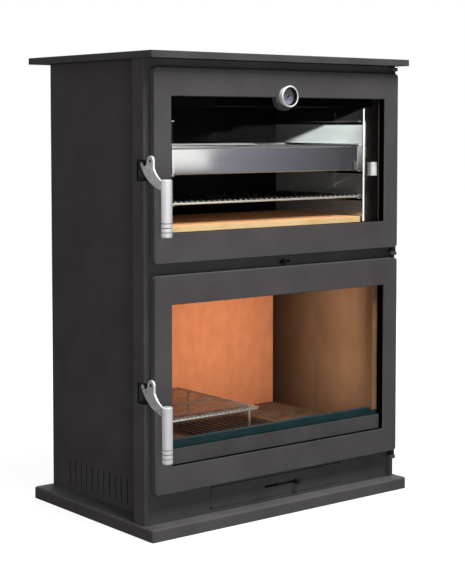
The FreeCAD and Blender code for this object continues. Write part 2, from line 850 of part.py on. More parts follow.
def baking_tray():
    """Deep stainless tray that rests on the middle runners."""
    x = half_oven - size.oven_lip - size.tray_side_gap
    low = oven_low + size.tray_level + size.seat_clearance
    body = new_body("baking_tray", 0, oven_front + size.oven_sheet + size.tray_front_gap, low)
    sketch = new_sketch(body, "XY_Plane")
    outline(sketch, rectangle((-x, 0), (x, size.tray_depth)))
    shell = pad(body, sketch, size.tray_height)
    round_edges(body, shell, size.tray_corner_radius, lambda edge, box: runs_along(edge, "z"))
    wall = size.tray_sheet
    carve_box(body, (wall - x, wall, wall),
              (x - wall, size.tray_depth - wall, size.tray_height + size.overrun))


def oven_rack():
    """Wire shelf that rests on the lowest runners."""
    x = half_oven - size.oven_lip - size.rack_side_gap
    front = oven_front + size.rack_front_gap
    low = oven_low + size.rack_level + size.seat_clearance
    thick = size.rack_rod_radius
    rods = wire_grid(-x, front, low, x * 2, size.rack_depth, size.rack_wire_radius, thick,
                     RACK_ROD_SHARES, RACK_WIRE_COUNT)
    for side in (thick - x, x - thick):
        rods.append(rod((side, front, low + thick), "y", size.rack_depth, thick))
    piece(fuse(*rods), "oven_rack")


# Doors
def door_frame(label, low, height, window, tab):
    """Cast door frame with soft edges and pin holes; the oven's has a tab for the gauge."""
    body = new_body(label, 0, door_front, low)
    sketch = new_sketch(body, "XZ_Plane")
    outline(sketch, rectangle((-half_door, 0), (half_door, height)))
    sill, head = window[0] - low, window[1] - low
    edge = [(-half_window, sill), (half_window, sill), (half_window, head)]
    if tab:
        edge.append((gauge_x + size.tab_radius, head, size.tab_radius, 1))
        edge.append((gauge_x, head - size.tab_radius, size.tab_radius, 1))
        edge.append((gauge_x - size.tab_radius, head))
    edge.append((-half_window, head))
    outline(sketch, edge)
    slab = pad(body, sketch, size.door_thickness, reverse=True)
    corners = round_edges(body, slab, size.door_corner_radius,
                          lambda edge, box: runs_along(edge, "y") and at(abs(edge.BoundBox.XMin), box.XMax)
                          and (at(edge.BoundBox.ZMin, box.ZMin) or at(edge.BoundBox.ZMin, box.ZMax)))
    round_edges(body, corners, size.door_edge_radius, lambda edge, box: at(edge.BoundBox.YMax, box.YMin))
    for start in (as_size(0), height - size.hinge_pin_depth - size.hinge_end_clearance):
        carve_hole(body, (hinge_x, size.door_thickness / 2, start), "z",
                   size.hinge_pin_depth + size.hinge_end_clearance,
                   size.hinge_pin_radius + size.running_clearance)
    if tab:
        carve_hole(body, (gauge_x, -size.overrun, gauge_height - low), "y",
                   size.door_thickness + size.overrun * 2, size.gauge_stem_radius + size.gauge_stem_clearance)


def door_glass(label, window, stem):
    """Heat-proof pane behind the window."""
    lap = size.glass_lap
    pane = block((-half_window - lap, door_rear, window[0] - lap),
                 (half_window + lap, glass_rear, window[1] + lap))
    if stem:
        bore = size.gauge_stem_radius + size.gauge_stem_clearance
        hole = rod((gauge_x, door_rear - size.overrun, gauge_height), "y",
                   size.glass_thickness + size.overrun * 2, bore)
        pane = cut(pane, hole)
    piece(pane, label)


def door_gasket(label, low, high):
    """Rope seal round the back of the door, just clear of the frame's face."""
    outer = half_door - size.gasket_inset
    inner = outer - size.gasket_width
    bottom, top = low + size.gasket_inset, high - size.gasket_inset
    rear = frame_front - size.gasket_clearance
    rope = block((-outer, door_rear, bottom), (outer, rear, top))
    hollow = block((-inner, door_rear - size.overrun, bottom + size.gasket_width),
                   (inner, rear + size.overrun, top - size.gasket_width))
    piece(cut(rope, hollow), label)


def clip_steps(reach):
    """Blocks of a Z-shaped clip: pairs of distances outwards from the window's edge, with pairs of depths."""
    lap = size.glass_lap + size.clip_glass_gap
    bend = lap + size.clip_sheet
    return [((reach, bend), (glass_rear, glass_rear + size.clip_sheet)),
            ((lap, bend), (door_rear, glass_rear)),
            ((bend, bend + size.clip_foot), (door_rear, door_rear + size.clip_sheet))]


def glass_clips(name, window, keeper):
    """Glass clips at stiles and rails with their screws; the one by the hinges may show in the window."""
    bore = size.glass_lap + size.clip_glass_gap + size.clip_sheet + size.clip_foot / 2
    foot = door_rear + size.clip_sheet
    middle = window[0] + (window[1] - window[0]) * SIDE_CLIP_SHARE
    clips, screws = [], []
    for side in (-1, 1):
        reach, half = size.clip_set_back, size.clip_width / 2
        if keeper and side > 0:
            reach, half = -size.keeper_tongue, size.keeper_height / 2
        blocks = []
        for (near, far), (front, rear) in clip_steps(reach):
            ends = (half_window + near, half_window + far)
            low, high = ends if side > 0 else (-ends[1], -ends[0])
            blocks.append(block((low, front, middle - half), (high, rear, middle + half)))
        clips.append(fuse(*blocks))
        screws.append(rod(((half_window + bore) * side, foot, middle), "y", size.clip_screw_height,
                          size.clip_screw_radius))
        half = size.clip_width / 2
        for share in RAIL_CLIP_SHARES:
            x = half_window * share
            blocks = []
            for (near, far), (front, rear) in clip_steps(size.clip_set_back):
                low, high = window[0] - far, window[0] - near
                if side > 0:
                    low, high = window[1] + near, window[1] + far
                blocks.append(block((x - half, front, low), (x + half, rear, high)))
            clips.append(fuse(*blocks))
            height = window[1] + bore if side > 0 else window[0] - bore
            screws.append(rod((x, foot, height), "y", size.clip_screw_height, size.clip_screw_radius))
    piece(group(*clips), f"{name}_glass_clips")
    piece(group(*screws), f"{name}_clip_screws")


def fire_glass_trim():
    """Painted strip across the foot of the fire door's pane."""
    x = half_window - size.trim_end_gap
    piece(block((-x, door_rear - size.trim_sheet, fire_window[0] + size.trim_end_gap),
                (x, door_rear, fire_window[0] + size.trim_height)), "fire_glass_trim")


# Hinges
def hinge_lugs():
    """Lugs on the frame above, between and below the doors."""
    lugs = []
    low_x = hinge_x - size.lug_width / 2
    front = hinge_y - size.lug_nose
    for low in (fire_door_low - size.lug_bottom_gap - size.lug_thickness, fire_door_high + size.lug_top_gap,
                oven_door_high + size.lug_top_gap):
        plate = block((low_x, front, low), (low_x + size.lug_width, frame_front, low + size.lug_thickness))
        doc.recompute()
        rounded = doc.addObject("Part::Fillet", "lug")
        rounded.Base = plate
        box = plate.Shape.BoundBox
        rounded.Edges = [(number, size.lug_corner_radius.value, size.lug_corner_radius.value)
                         for number, edge in enumerate(plate.Shape.Edges, start=1)
                         if runs_along(edge, "z") and at(edge.BoundBox.YMin, box.YMin)]
        lugs.append(rounded)
    piece(group(*lugs), "hinge_lugs")


def hinge_pins():
    """Pins from the lugs into the doors; those that carry a door have a collar under it."""
    pins = []
    middle_low = fire_door_high + size.lug_top_gap
    bottom_high = fire_door_low - size.lug_bottom_gap
    for lug_top, door_low in ((bottom_high, fire_door_low), (middle_low + size.lug_thickness, oven_door_low)):
        pin = rod((hinge_x, hinge_y, lug_top), "z", door_low - lug_top + size.hinge_pin_depth,
                  size.hinge_pin_radius)
        collar = rod((hinge_x, hinge_y, lug_top), "z", door_low - lug_top - size.seat_clearance,
                     size.hinge_collar_radius)
        pins.append(fuse(pin, collar))
    for door_high in (fire_door_high, oven_door_high):
        pins.append(rod((hinge_x, hinge_y, door_high - size.hinge_pin_depth), "z",
                        size.hinge_pin_depth + size.lug_top_gap, size.hinge_pin_radius))
    piece(group(*pins), "hinge_pins")


# Handles
def handle_lever(label, height):
    """Cast lever: a round head on the bolt, a claw behind it and an arm that curves down to the grip."""
    head, neck = size.lever_head_radius, size.lever_neck_drop
    claw_x, arm_end = size.claw_reach, size.grip_radius - size.grip_reach - size.grip_socket
    notch_left = claw_x - size.claw_notch_radius * 2
    body = new_body(label, -half_door - size.lever_gap - size.lever_thickness, hinge_y, height)
    sketch = new_sketch(body, "YZ_Plane")
    outline(sketch, [
        (-head, as_size(0), head, 1),
        (as_size(0), head, head, 1),
        (notch_left, as_size(0), size.claw_notch_radius, -1),
        (notch_left + size.claw_notch_radius, -size.claw_notch_radius, size.claw_notch_radius, -1),
        (claw_x - size.claw_drop / 2, -size.claw_drop),
        (claw_x, -size.claw_drop - size.claw_tip_height / 2),
        (claw_x, -size.claw_drop - size.claw_tip_height, size.claw_back_radius, 1),
        (arm_end, -size.arm_bottom_drop),
        (arm_end, -size.arm_top_drop, size.lever_front_radius, -1),
        (-head, -neck),
    ])
    circle(sketch, 0, 0, size.lever_bolt_radius + size.running_clearance)
    pad(body, sketch, size.lever_thickness)


def handle_grip(label, height):
    """Turned grip with three ring grooves near its lower end and a socket for the lever's arm."""
    x = -half_door - size.lever_gap - size.lever_thickness / 2
    body = new_body(label, x, hinge_y - size.grip_reach, height - size.grip_top_drop - size.grip_length)
    radius, end, depth = size.grip_radius, size.grip_end_radius, size.ring_depth
    points = [(0, 0), (radius - end, 0), (radius, end)]
    for number in range(3):
        low = size.ring_start + size.ring_pitch * number
        points += [(radius, low), (radius - depth, low), (radius - depth, low + size.ring_width),
                   (radius, low + size.ring_width)]
    points += [(radius, size.grip_length - end), (radius - end, size.grip_length), (0, size.grip_length)]
    revolve(body, points)
    high = size.grip_length + size.grip_top_drop
    half = size.lever_thickness / 2
    carve_box(body,
              (-half, radius - size.grip_socket, high - size.arm_bottom_drop),
              (half, radius + size.overrun, high - size.arm_top_drop + size.grip_socket))


def handle_bolt(label, height):
    """Pivot bolt fixed to the door's edge, with a socket in its end."""
    end = -half_door - size.lever_gap - size.lever_thickness
    shank = rod((end, hinge_y, height), "x", -half_door - end, size.lever_bolt_radius)
    socket = rod((end, hinge_y, height), "x", size.lever_bolt_socket_depth, size.lever_bolt_socket)
    piece(cut(shank, socket), label)


def catch_studs():
    """Studs behind the latch notches; each stops just short of the claw's plate."""
    end = -half_door
    studs = []
    notch_y = hinge_y + size.claw_reach - size.claw_notch_radius
    for height in handle_heights:
        stud = rod((end, notch_y, height), "x", size.stud_length, size.stud_radius)
        half = size.stud_plate_height / 2
        start = end + size.stud_length
        plate = block((start, inside_front, height - half),
                      (start + size.stud_plate, inside_front + size.stud_plate_depth, height + half))
        studs.append(fuse(stud, plate))
    piece(group(*studs), "catch_studs")


# Thermometer on the oven door
def thermometer():
    """Turned case with bezel and stem, a dial on its base, a needle and a lens."""
    case = new_body("thermometer_case", gauge_x, door_front, gauge_height, "front")
    neck, lip, deep = size.gauge_neck, size.gauge_lip, size.gauge_depth
    stem, slim = size.gauge_stem_radius, size.gauge_body_radius
    rim, bore = size.gauge_radius, size.gauge_bore_radius
    revolve(case, [(0, -size.gauge_stem_length), (stem, -size.gauge_stem_length), (stem, 0),
                   (slim, 0), (slim, neck), (rim, neck + lip), (rim, deep - lip), (rim - lip, deep),
                   (bore, deep), (bore, size.gauge_base), (0, size.gauge_base)])
    fit = bore - size.gauge_fit_clearance
    dial_front = door_front - size.gauge_base - size.dial_thickness
    piece(rod((gauge_x, door_front - size.gauge_base, gauge_height), "front", size.dial_thickness, fit),
          "thermometer_dial")
    lens_front = door_front - deep + size.lens_setback
    piece(rod((gauge_x, lens_front, gauge_height), "y", size.lens_thickness, fit), "thermometer_lens")
    needle = new_body("thermometer_needle", gauge_x, dial_front - size.seat_clearance, gauge_height)
    turn = FreeCAD.Rotation(FreeCAD.Vector(0, 0, 1), NEEDLE_REST_DEGREES)
    needle.Placement.Rotation = ALONG["front"] * turn
    hub = new_sketch(needle, "XY_Plane")
    circle(hub, 0, 0, size.needle_hub_radius)
    pad(needle, hub, size.needle_hub_height)
    half, tip = size.needle_width / 2, size.needle_tip_width / 2
    pointer = new_sketch(needle, "XY_Plane")
    outline(pointer, [(-half, -size.needle_tail), (half, -size.needle_tail), (tip, size.needle_length),
                      (-tip, size.needle_length)])
    pad(needle, pointer, size.needle_thickness)


# Ash drawer and air sliders
def ash_drawer():
    """Open ash box with a front plate that fills the frame's slot; the front has the primary air slot."""
    half_front = size.drawer_width / 2
    half_box = half_front - size.drawer_box_inset
    low = drawer_low + size.drawer_box_rise
    high = drawer_high - size.drawer_box_rise
    back = inside_front + size.drawer_depth
    wall = size.drawer_sheet
    body = new_body("ash_drawer", 0, frame_front, 0)
    sketch = new_sketch(body, "XZ_Plane")
    outline(sketch, rectangle((-half_front, drawer_low), (half_front, drawer_high)))
    plate = pad(body, sketch, size.frame_sheet, reverse=True)
    round_edges(body, plate, size.drawer_corner_radius, lambda edge, box: runs_along(edge, "y"))
    box_sketch = new_sketch(body, "XZ_Plane")
    outline(box_sketch, rectangle((-half_box, low), (half_box, high)))
    pad(body, box_sketch, back - frame_front, reverse=True)
    carve_box(body,
              (wall - half_box, size.frame_sheet, low + wall),
              (half_box - wall, back - frame_front - wall, high + size.overrun))
    half_slot = size.air_slot_height / 2
    carve_box(body,
              (primary_slot[0], -size.overrun, primary_slot_z - half_slot),
              (primary_slot[1], size.frame_sheet + size.overrun / 2, primary_slot_z + half_slot))


def drawer_runners():
    """Bars on the plinth that carry the ash drawer."""
    outer = size.drawer_width / 2 - size.drawer_runner_inset
    inner = outer - size.drawer_runner_width
    high = drawer_low + size.drawer_box_rise - size.seat_clearance
    back = inside_front + size.drawer_depth
    piece(group(block((-outer, inside_front, size.plinth_height), (-inner, back, high)),
                block((inner, inside_front, size.plinth_height), (outer, back, high))), "ash_drawer_runners")


def air_slider(label, slot, height, knob_x):
    """Damper plate behind an air slot, with a stem and a knob in front of it."""
    half = size.air_plate_height / 2
    front = inside_front + size.seat_clearance
    half_span = (slot[1] - slot[0]) / 2
    plate = block((knob_x - half_span, front, height - half),
                  (knob_x + half_span, front + size.air_plate, height + half))
    out = frame_front - size.air_stem_length
    stem = rod((knob_x, out, height), "y", front - out, size.air_stem_radius)
    knob = rod((knob_x, out - size.air_knob_length, height), "y", size.air_knob_length, size.air_knob_radius)
    piece(fuse(plate, stem, knob), label)


def air_sliders():
    air_slider("primary_air_slider", primary_slot, primary_slot_z,
               primary_slot[0] + (primary_slot[1] - primary_slot[0]) * PRIMARY_KNOB_SHARE)
    air_slider("secondary_air_slider", air_slot, air_slot_z,
               air_slot[0] + (air_slot[1] - air_slot[0]) * SECONDARY_KNOB_SHARE)


def build():
    base_plinth()
    side_panel("left_side_panel", -half_carcass)
    side_panel("right_side_panel", half_carcass - size.panel_sheet)
    back_panel()
    front_frame()
    top_plate()
    flue_collar()
    flue_collar_screws()
    fire_walls()
    fire_boards()
    hearth()
    fire_grate()
    log_guard()
    grill_rack()
    oven_liner()
    oven_mouth_flange()
    oven_runners()
    oven_floor_tile()
    baking_tray()
    oven_rack()
    door_frame("oven_door_frame", oven_door_low, size.oven_door_height, oven_window, True)
    door_frame("fire_door_frame", fire_door_low, size.fire_door_height, fire_window, False)
    door_glass("oven_door_glass", oven_window, True)
    door_glass("fire_door_glass", fire_window, False)
    door_gasket("oven_door_gasket", oven_door_low, oven_door_high)
    door_gasket("fire_door_gasket", fire_door_low, fire_door_high)
    glass_clips("oven", oven_window, True)
    glass_clips("fire", fire_window, False)
    fire_glass_trim()
    hinge_lugs()
    hinge_pins()
    for name, height in zip(("oven", "fire"), handle_heights):
        handle_lever(f"{name}_handle_lever", height)
        handle_grip(f"{name}_handle_grip", height)
        handle_bolt(f"{name}_handle_bolt", height)
    catch_studs()
    thermometer()
    ash_drawer()
    drawer_runners()
    air_sliders()
    doc.recompute()


def check_and_write():
    """Stop on any failed object or bad shape, then write one file for each piece."""
    failed = [item.Label for item in doc.Objects if {"Invalid", "Error"} & set(item.State)]
    bad = [item.Label for item in pieces
           if item.Shape.isNull() or not item.Shape.isValid() or not item.Shape.Solids]
    if failed or bad:
        raise RuntimeError(f"failed objects {failed}, bad shapes {bad}")
    os.makedirs("parts", exist_ok=True)
    for item in pieces:
        item.Shape.exportStep(os.path.join("parts", f"{item.Label}.step"))
    print(f"wrote {len(pieces)} pieces")


build()
check_and_write()
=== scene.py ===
"""Looks of the wood stove with oven: finishes, soft edges, wires, screws, seals, gauge, studio."""

import json
import math

import bmesh
import bpy
from mathutils import Matrix, Vector


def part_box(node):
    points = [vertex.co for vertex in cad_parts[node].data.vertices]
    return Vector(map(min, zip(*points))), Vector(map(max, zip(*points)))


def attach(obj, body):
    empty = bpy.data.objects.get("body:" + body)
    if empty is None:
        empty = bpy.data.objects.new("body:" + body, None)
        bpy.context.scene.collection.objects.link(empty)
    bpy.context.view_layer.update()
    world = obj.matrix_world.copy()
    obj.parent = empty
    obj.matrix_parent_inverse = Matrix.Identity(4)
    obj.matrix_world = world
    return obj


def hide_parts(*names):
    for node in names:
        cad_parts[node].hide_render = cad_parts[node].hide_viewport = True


MM = 0.001
WELD = 0.01 * MM  # corners closer than this are one
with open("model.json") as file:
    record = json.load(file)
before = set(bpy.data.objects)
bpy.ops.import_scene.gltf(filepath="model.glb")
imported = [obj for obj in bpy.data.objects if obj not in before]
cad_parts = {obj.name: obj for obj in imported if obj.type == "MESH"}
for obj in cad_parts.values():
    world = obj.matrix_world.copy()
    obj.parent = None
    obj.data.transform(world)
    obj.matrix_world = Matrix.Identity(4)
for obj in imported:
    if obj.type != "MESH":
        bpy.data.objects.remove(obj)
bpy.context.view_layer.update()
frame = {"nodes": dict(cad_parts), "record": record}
record = frame["record"]
body_of = {node: body for body, nodes in record["behaviour"]["bodies"].items() for node in nodes}
scene = bpy.context.scene


# Materials
def linear(colour):
    """Linear colour of an sRGB hex value."""
    shares = [int(colour[i:i + 2], 16) / 255 for i in (1, 3, 5)]
    return [s / 12.92 if s <= 0.04045 else ((s + 0.055) / 1.055) ** 2.4 for s in shares] + [1.0]


def add(tree, kind, inputs=None, **settings):
    """Add a node, set its properties and fill its inputs with values or sockets."""
    node = tree.nodes.new(kind)
    for name, value in settings.items():
        setattr(node, name, value)
    for key, value in (inputs or {}).items():
        if isinstance(value, bpy.types.NodeSocket):
            tree.links.new(value, node.inputs[key])
        else:
            node.inputs[key].default_value = value
    return node


def new_material(name, **sockets):
    """A material of one principled shader, with its tree, shader and object coordinates."""
    material = bpy.data.materials.new(name)
    material.use_nodes = True
    tree = material.node_tree
    tree.nodes.clear()
    place = add(tree, "ShaderNodeTexCoord").outputs["Object"]
    shader = add(tree, "ShaderNodeBsdfPrincipled",
                 {key.replace("_", " "): value for key, value in sockets.items()})
    add(tree, "ShaderNodeOutputMaterial", {"Surface": shader.outputs["BSDF"]})
    return material, tree, shader, place


# How a surface's noise is used: detail of cloud and grain, the grain's share in the tone, where the
# two tones stand on the ramp, and the range of cloud noise that the roughness follows.
CLOUD_DETAIL, GRAIN_DETAIL = 5.0, 3.0
GRAIN_SHARE = 0.35
TONE_STOPS = (0.42, 0.95)
CLOUD_RANGE = (0.3, 0.7)


def grained(name, tones, cloud, grain, depth, rough, stretch=(1, 1, 1), stain=None, **sockets):
    """Clouded, grainy surface: two tones drift over cloud mm, and a grain in mm lifts by depth mm.

    A stain is a tone that sets in along an axis, from one place in mm to another.
    """
    material, tree, shader, place = new_material(name, **sockets)
    drawn = add(tree, "ShaderNodeMapping", {"Vector": place, "Scale": stretch}).outputs["Vector"]
    drift, grit = [add(tree, "ShaderNodeTexNoise",
                       {"Vector": drawn, "Scale": 1 / (size * MM), "Detail": detail}).outputs["Fac"]
                   for size, detail in ((cloud, CLOUD_DETAIL), (grain, GRAIN_DETAIL))]
    both = add(tree, "ShaderNodeMath", {0: grit, 1: GRAIN_SHARE, 2: drift},
               operation="MULTIPLY_ADD")
    ramp = add(tree, "ShaderNodeValToRGB", {"Fac": both.outputs["Value"]})
    for stop, at, tone in zip(ramp.color_ramp.elements, TONE_STOPS, tones):
        stop.position = at
        stop.color = linear(tone)
    sheen = add(tree, "ShaderNodeMapRange",
                {"Value": drift, "From Min": CLOUD_RANGE[0], "From Max": CLOUD_RANGE[1],
                 "To Min": rough[0], "To Max": rough[1]})
    relief = add(tree, "ShaderNodeBump", {"Height": grit, "Distance": depth * MM, "Strength": 1.0})
    colour = ramp.outputs["Color"]
    if stain:
        tone, axis, start, end = stain
        along = add(tree, "ShaderNodeSeparateXYZ", {"Vector": place}).outputs[axis]
        share = add(tree, "ShaderNodeMapRange",
                    {"Value": along, "From Min": start * MM, "From Max": end * MM})
        colour = add(tree, "ShaderNodeMixRGB",
                     {"Fac": share.outputs["Result"], "Color1": colour,
                      "Color2": linear(tone)}).outputs["Color"]
    tree.links.new(colour, shader.inputs["Base Color"])
    tree.links.new(sheen.outputs["Result"], shader.inputs["Roughness"])
    tree.links.new(relief.outputs["Normal"], shader.inputs["Normal"])
    return material


# Silicone stove paint, sprayed and baked on sheet steel: dead matt with a fine pebble.
# The pebble is about 0.4 mm on the real one and is drawn at 1.6 mm so that it shows.
stove_paint = grained(
    "stove_paint_matt_grey", ("#413f40", "#4e4c4d"), cloud=90, grain=1.6, depth=0.03,
    rough=(0.5, 0.6), Specular_IOR_Level=0.05)
# On the plinth the same paint is made a shade paler: painted light.
plinth_paint_painted_light = grained(
    "stove_paint_painted_lighter_plinth", ("#484647", "#555354"), cloud=90, grain=1.6, depth=0.03,
    rough=(0.5, 0.6), Specular_IOR_Level=0.05)
# The same paint over a cast plate is a little smoother and catches a softer light.
door_paint = grained(
    "stove_paint_on_cast_door", ("#444243", "#514f50"), cloud=120, grain=1.3, depth=0.02,
    rough=(0.44, 0.53), Specular_IOR_Level=0.06)
# Hot rolled steel blackened by heat: brown-black scale with a dull bloom.
scale_steel = grained(
    "blackened_rolled_steel", ("#151210", "#27211e"), cloud=45, grain=2.2, depth=0.04,
    rough=(0.5, 0.75), Specular_IOR_Level=0.25)
# Vitreous enamel fired black on the oven's back and roof; the same black is painted shade in the
# latch notches, over the oven's header and in the door windows.
black_enamel_and_painted_shade = grained(
    "black_oven_enamel_and_painted_shade", ("#030303", "#080707"), cloud=60, grain=3.0, depth=0.006,
    rough=(0.4, 0.5), Specular_IOR_Level=0.01)
# The log guard is black satin enamel, coloured a very dark blue green: painted reflection.
guard_enamel_painted_reflection = grained(
    "guard_paint_painted_teal_reflection", ("#172c30", "#20373c"), cloud=70, grain=2.5, depth=0.01,
    rough=(0.4, 0.5), Specular_IOR_Level=0.15)
# Pressed vermiculite board: warm terracotta with fine flecks and a dry, open face.
back_board = grained(
    "vermiculite_terracotta", ("#b06a48", "#c07a56"), cloud=30, grain=1.2, depth=0.02,
    rough=(0.85, 0.95), stretch=(1, 1, 0.6), Specular_IOR_Level=0.1)
# The side boards are a darker brown than the back board and blacken towards the back: painted
# shade.
side_board_painted_shade = grained(
    "vermiculite_painted_shade", ("#6e5039", "#84644b"), cloud=70, grain=1.4, depth=0.03,
    rough=(0.85, 0.95), stretch=(1, 1, 0.5), stain=("#120d0a", "Y", -190, 190),
    Specular_IOR_Level=0.1)
# Steel strips at the mouth, in the boards' shaded brown: painted shade.
strip_painted_shade = grained(
    "steel_strip_painted_shade", ("#765540", "#8a684e"), cloud=60, grain=1.8, depth=0.04,
    rough=(0.7, 0.85), Specular_IOR_Level=0.1)
# Fire brick: coarse fired clay dusted with ash.
fire_brick = grained(
    "fire_brick_ashed", ("#412f22", "#6e5745"), cloud=26, grain=3.0, depth=0.2,
    rough=(0.88, 0.97), Specular_IOR_Level=0.1)
# Refractory baking slab: pale fired clay, dry, with its top face a darker orange: painted shade.
oven_tile_painted_shade_top = grained(
    "refractory_slab_tan_painted_shade_top", ("#e6bd84", "#f6dcab"), cloud=60, grain=1.8, depth=0.06,
    rough=(0.8, 0.92), stain=("#dfa878", "Z", 701, 703.6), Specular_IOR_Level=0.15)
# Sand-cast iron, brushed with graphite.
cast_iron = grained(
    "sand_cast_iron", ("#191817", "#2c2a29"), cloud=20, grain=1.6, depth=0.15,
    rough=(0.55, 0.75), Metallic=0.35)
# Blackened turned steel of the air knobs and the handle bolts.
knob_steel = grained(
    "blackened_turned_steel", ("#121110", "#242221"), cloud=8, grain=0.8, depth=0.02,
    rough=(0.32, 0.45), Metallic=0.6)
# Tumbled cast aluminium: pale, softly pitted skin.
cast_handle = grained(
    "tumbled_cast_aluminium", ("#96969a", "#dadadc"), cloud=5, grain=1.2, depth=0.03,
    rough=(0.34, 0.5), Metallic=0.5)
# A brighter copy of the aluminium for the levers' faces that don't face sideways and for the oven's
# bead: painted highlight.
aluminium_painted_highlight = grained(
    "aluminium_painted_highlight_tone", ("#e8e8ea", "#f6f6f7"), cloud=8, grain=0.8, depth=0.01,
    rough=(0.2, 0.3), Metallic=0.4)
# Turned aluminium grip with a fine satin skin, nearly white in studio light.
satin_grip = grained(
    "satin_turned_aluminium", ("#f0f0f5", "#f7f7fa"), cloud=40, grain=0.8, depth=0.0005,
    rough=(0.3, 0.31), Metallic=0.55)
# The grip's ring grooves are coloured dark: painted shade.
groove_painted_shade = grained(
    "groove_painted_shade_tone", ("#4b4f5e", "#5c6070"), cloud=3, grain=0.6, depth=0.01,
    rough=(0.4, 0.5), Metallic=0.4)
# Cold rolled stainless sheet: bright, with fine rolling lines along its width.
stainless = grained(
    "bright_rolled_stainless", ("#f6f6f9", "#fefefe"), cloud=40, grain=0.9, depth=0.001,
    rough=(0.07, 0.1), stretch=(0.06, 1, 2.2), Metallic=1.0)
# The oven's side walls mirror the dark oven and catch a little light.
# Above the top runner they are coloured dark: painted shade.
wall_stainless_painted_shade = grained(
    "polished_oven_stainless_painted_shade", ("#d2d6d5", "#e6ebea"), cloud=50, grain=0.9, depth=0.001,
    rough=(0.14, 0.2), stretch=(1, 0.06, 2.2), stain=("#2c2d2d", "Z", 943, 946), Metallic=0.82)
# The rolled rim at the tray's back is brushed and scatters light.
brushed_stainless = grained(
    "brushed_stainless", ("#f0f0f2", "#fafafb"), cloud=40, grain=0.9, depth=0.002,
    rough=(0.3, 0.4), stretch=(0.06, 1, 2.2), Metallic=0.7)
# Bright zinc plate: a bluish white metal with a soft crystal flake.
zinc_plate = grained(
    "bright_zinc_plate", ("#dcdedb", "#f6f6f2"), cloud=5, grain=0.9, depth=0.012,
    rough=(0.3, 0.42), Metallic=0.3)
# The same plate on the glass clips, darker towards one end: painted shade.
clip_zinc_painted_shade = grained(
    "zinc_clip_painted_shade", ("#e2e4e1", "#f8f8f5"), cloud=6, grain=0.9, depth=0.02,
    rough=(0.36, 0.46), stain=("#77787a", "X", 309, 301), Metallic=0.2)
# Rods and cut wire ends of the oven rack in a bright copy of the chrome, painted highlight; the
# wires behind them in a dark brown copy, painted shade.
chrome_painted_highlight = grained(
    "bright_chrome_painted_highlight", ("#dedcd8", "#f4f2ee"), cloud=24, grain=1.5, depth=0.002,
    rough=(0.14, 0.22), Metallic=0.85)
chrome_painted_shade = grained(
    "brown_chrome_painted_shade", ("#5a504a", "#8a807a"), cloud=24, grain=1.5, depth=0.002,
    rough=(0.2, 0.3), Metallic=1.0)
# Nickelled wire of the grill, paled by the fire.
grill_wire = grained(
    "fire_paled_nickel_wire", ("#8f857d", "#c8c0b8"), cloud=20, grain=1.5, depth=0.004,
    rough=(0.3, 0.4), Metallic=0.7)
# Satin chrome of the gauge bezel, which stays pale from the side.
gauge_chrome = grained(
    "satin_gauge_chrome", ("#eeeeee", "#fbfbfb"), cloud=30, grain=2.0, depth=0.001,
    rough=(0.1, 0.16), Metallic=0.35)
# Printed aluminium dial, a cool mid grey, paling to lavender towards the bottom: painted light.
dial_face_painted_light = grained(
    "printed_dial_grey_painted_light", ("#727276", "#88888c"), cloud=9, grain=0.6, depth=0.002,
    rough=(0.45, 0.55), stain=("#9c9ab4", "Z", 1005, 990), Specular_IOR_Level=0.2)
# Glossy screen print and the needle's paint; the same black is painted shade inside the gauge's
# bezel and round the dial.
dial_ink_and_painted_shade = grained(
    "black_ink_and_painted_shade", ("#0c0c0d", "#161617"), cloud=4, grain=0.5, depth=0.002,
    rough=(0.4, 0.5), Specular_IOR_Level=0.2)
# Braided glass-fibre rope, dyed charcoal, with fuzzy strands.
rope_fibre = grained(
    "glass_fibre_rope", ("#1d1d1e", "#3a3a3b"), cloud=4, grain=0.5, depth=0.1,
    rough=(0.9, 0.97), Sheen_Weight=0.4, Specular_IOR_Level=0.2)


def glazing(name, tint, gloss):
    """Clear thin pane: a small share reflects and refracts, and the rest goes straight through."""
    material, tree, shader, _ = new_material(name, Base_Color=linear(tint), Roughness=0.0, IOR=1.45,
                                             Transmission_Weight=1.0)
    clear = add(tree, "ShaderNodeBsdfTransparent", {"Color": linear(tint)})
    mix = add(tree, "ShaderNodeMixShader",
              {0: gloss, 1: clear.outputs["BSDF"], 2: shader.outputs["BSDF"]})
    output = next(node for node in tree.nodes if node.type == "OUTPUT_MATERIAL")
    tree.links.new(mix.outputs["Shader"], output.inputs["Surface"])
    return material


# Glass ceramic for stove doors and the small lens of the gauge.
door_glass = glazing("clear_glass_ceramic", "#fefefd", 0.015)
gauge_lens = glazing("clear_gauge_lens", "#fdfdfd", 0.04)


# Pieces
def box_mm(node):
    """Lowest and highest corner of a CAD node in mm."""
    low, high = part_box(node)
    return low / MM, high / MM


def add_piece(name, mesh):
    """Object of a finished mesh, at the origin."""
    piece = bpy.data.objects.new(name, mesh)
    scene.collection.objects.link(piece)
    return piece


def plain_mesh(piece):
    """Replace a piece's modifiers by the mesh that they give."""
    shown = piece.evaluated_get(bpy.context.evaluated_depsgraph_get())
    done = bpy.data.meshes.new_from_object(shown)
    piece.modifiers.clear()
    piece.data = done
    return piece


def stand_for(piece, node, *more):
    """The piece rides with a CAD node's body and is shown in its place."""
    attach(piece, body_of[node])
    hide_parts(node, *more)
    return piece


def sit_on(piece, node):
    """The piece is extra detail that rides with a CAD node's body."""
    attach(piece, body_of[node])
    return piece


def smooth(piece, angle=38):
    """Smooth shading that keeps flat faces flat and breaks at sharp edges."""
    piece.data.shade_smooth()
    piece.data.set_sharp_from_angle(angle=math.radians(angle))
    piece.modifiers.new("flat_faces", "WEIGHTED_NORMAL").keep_sharp = True
    return plain_mesh(piece)


def paint(piece, material):
    """Give a piece one material."""
    piece.data.materials.clear()
    piece.data.materials.append(material)
    return piece


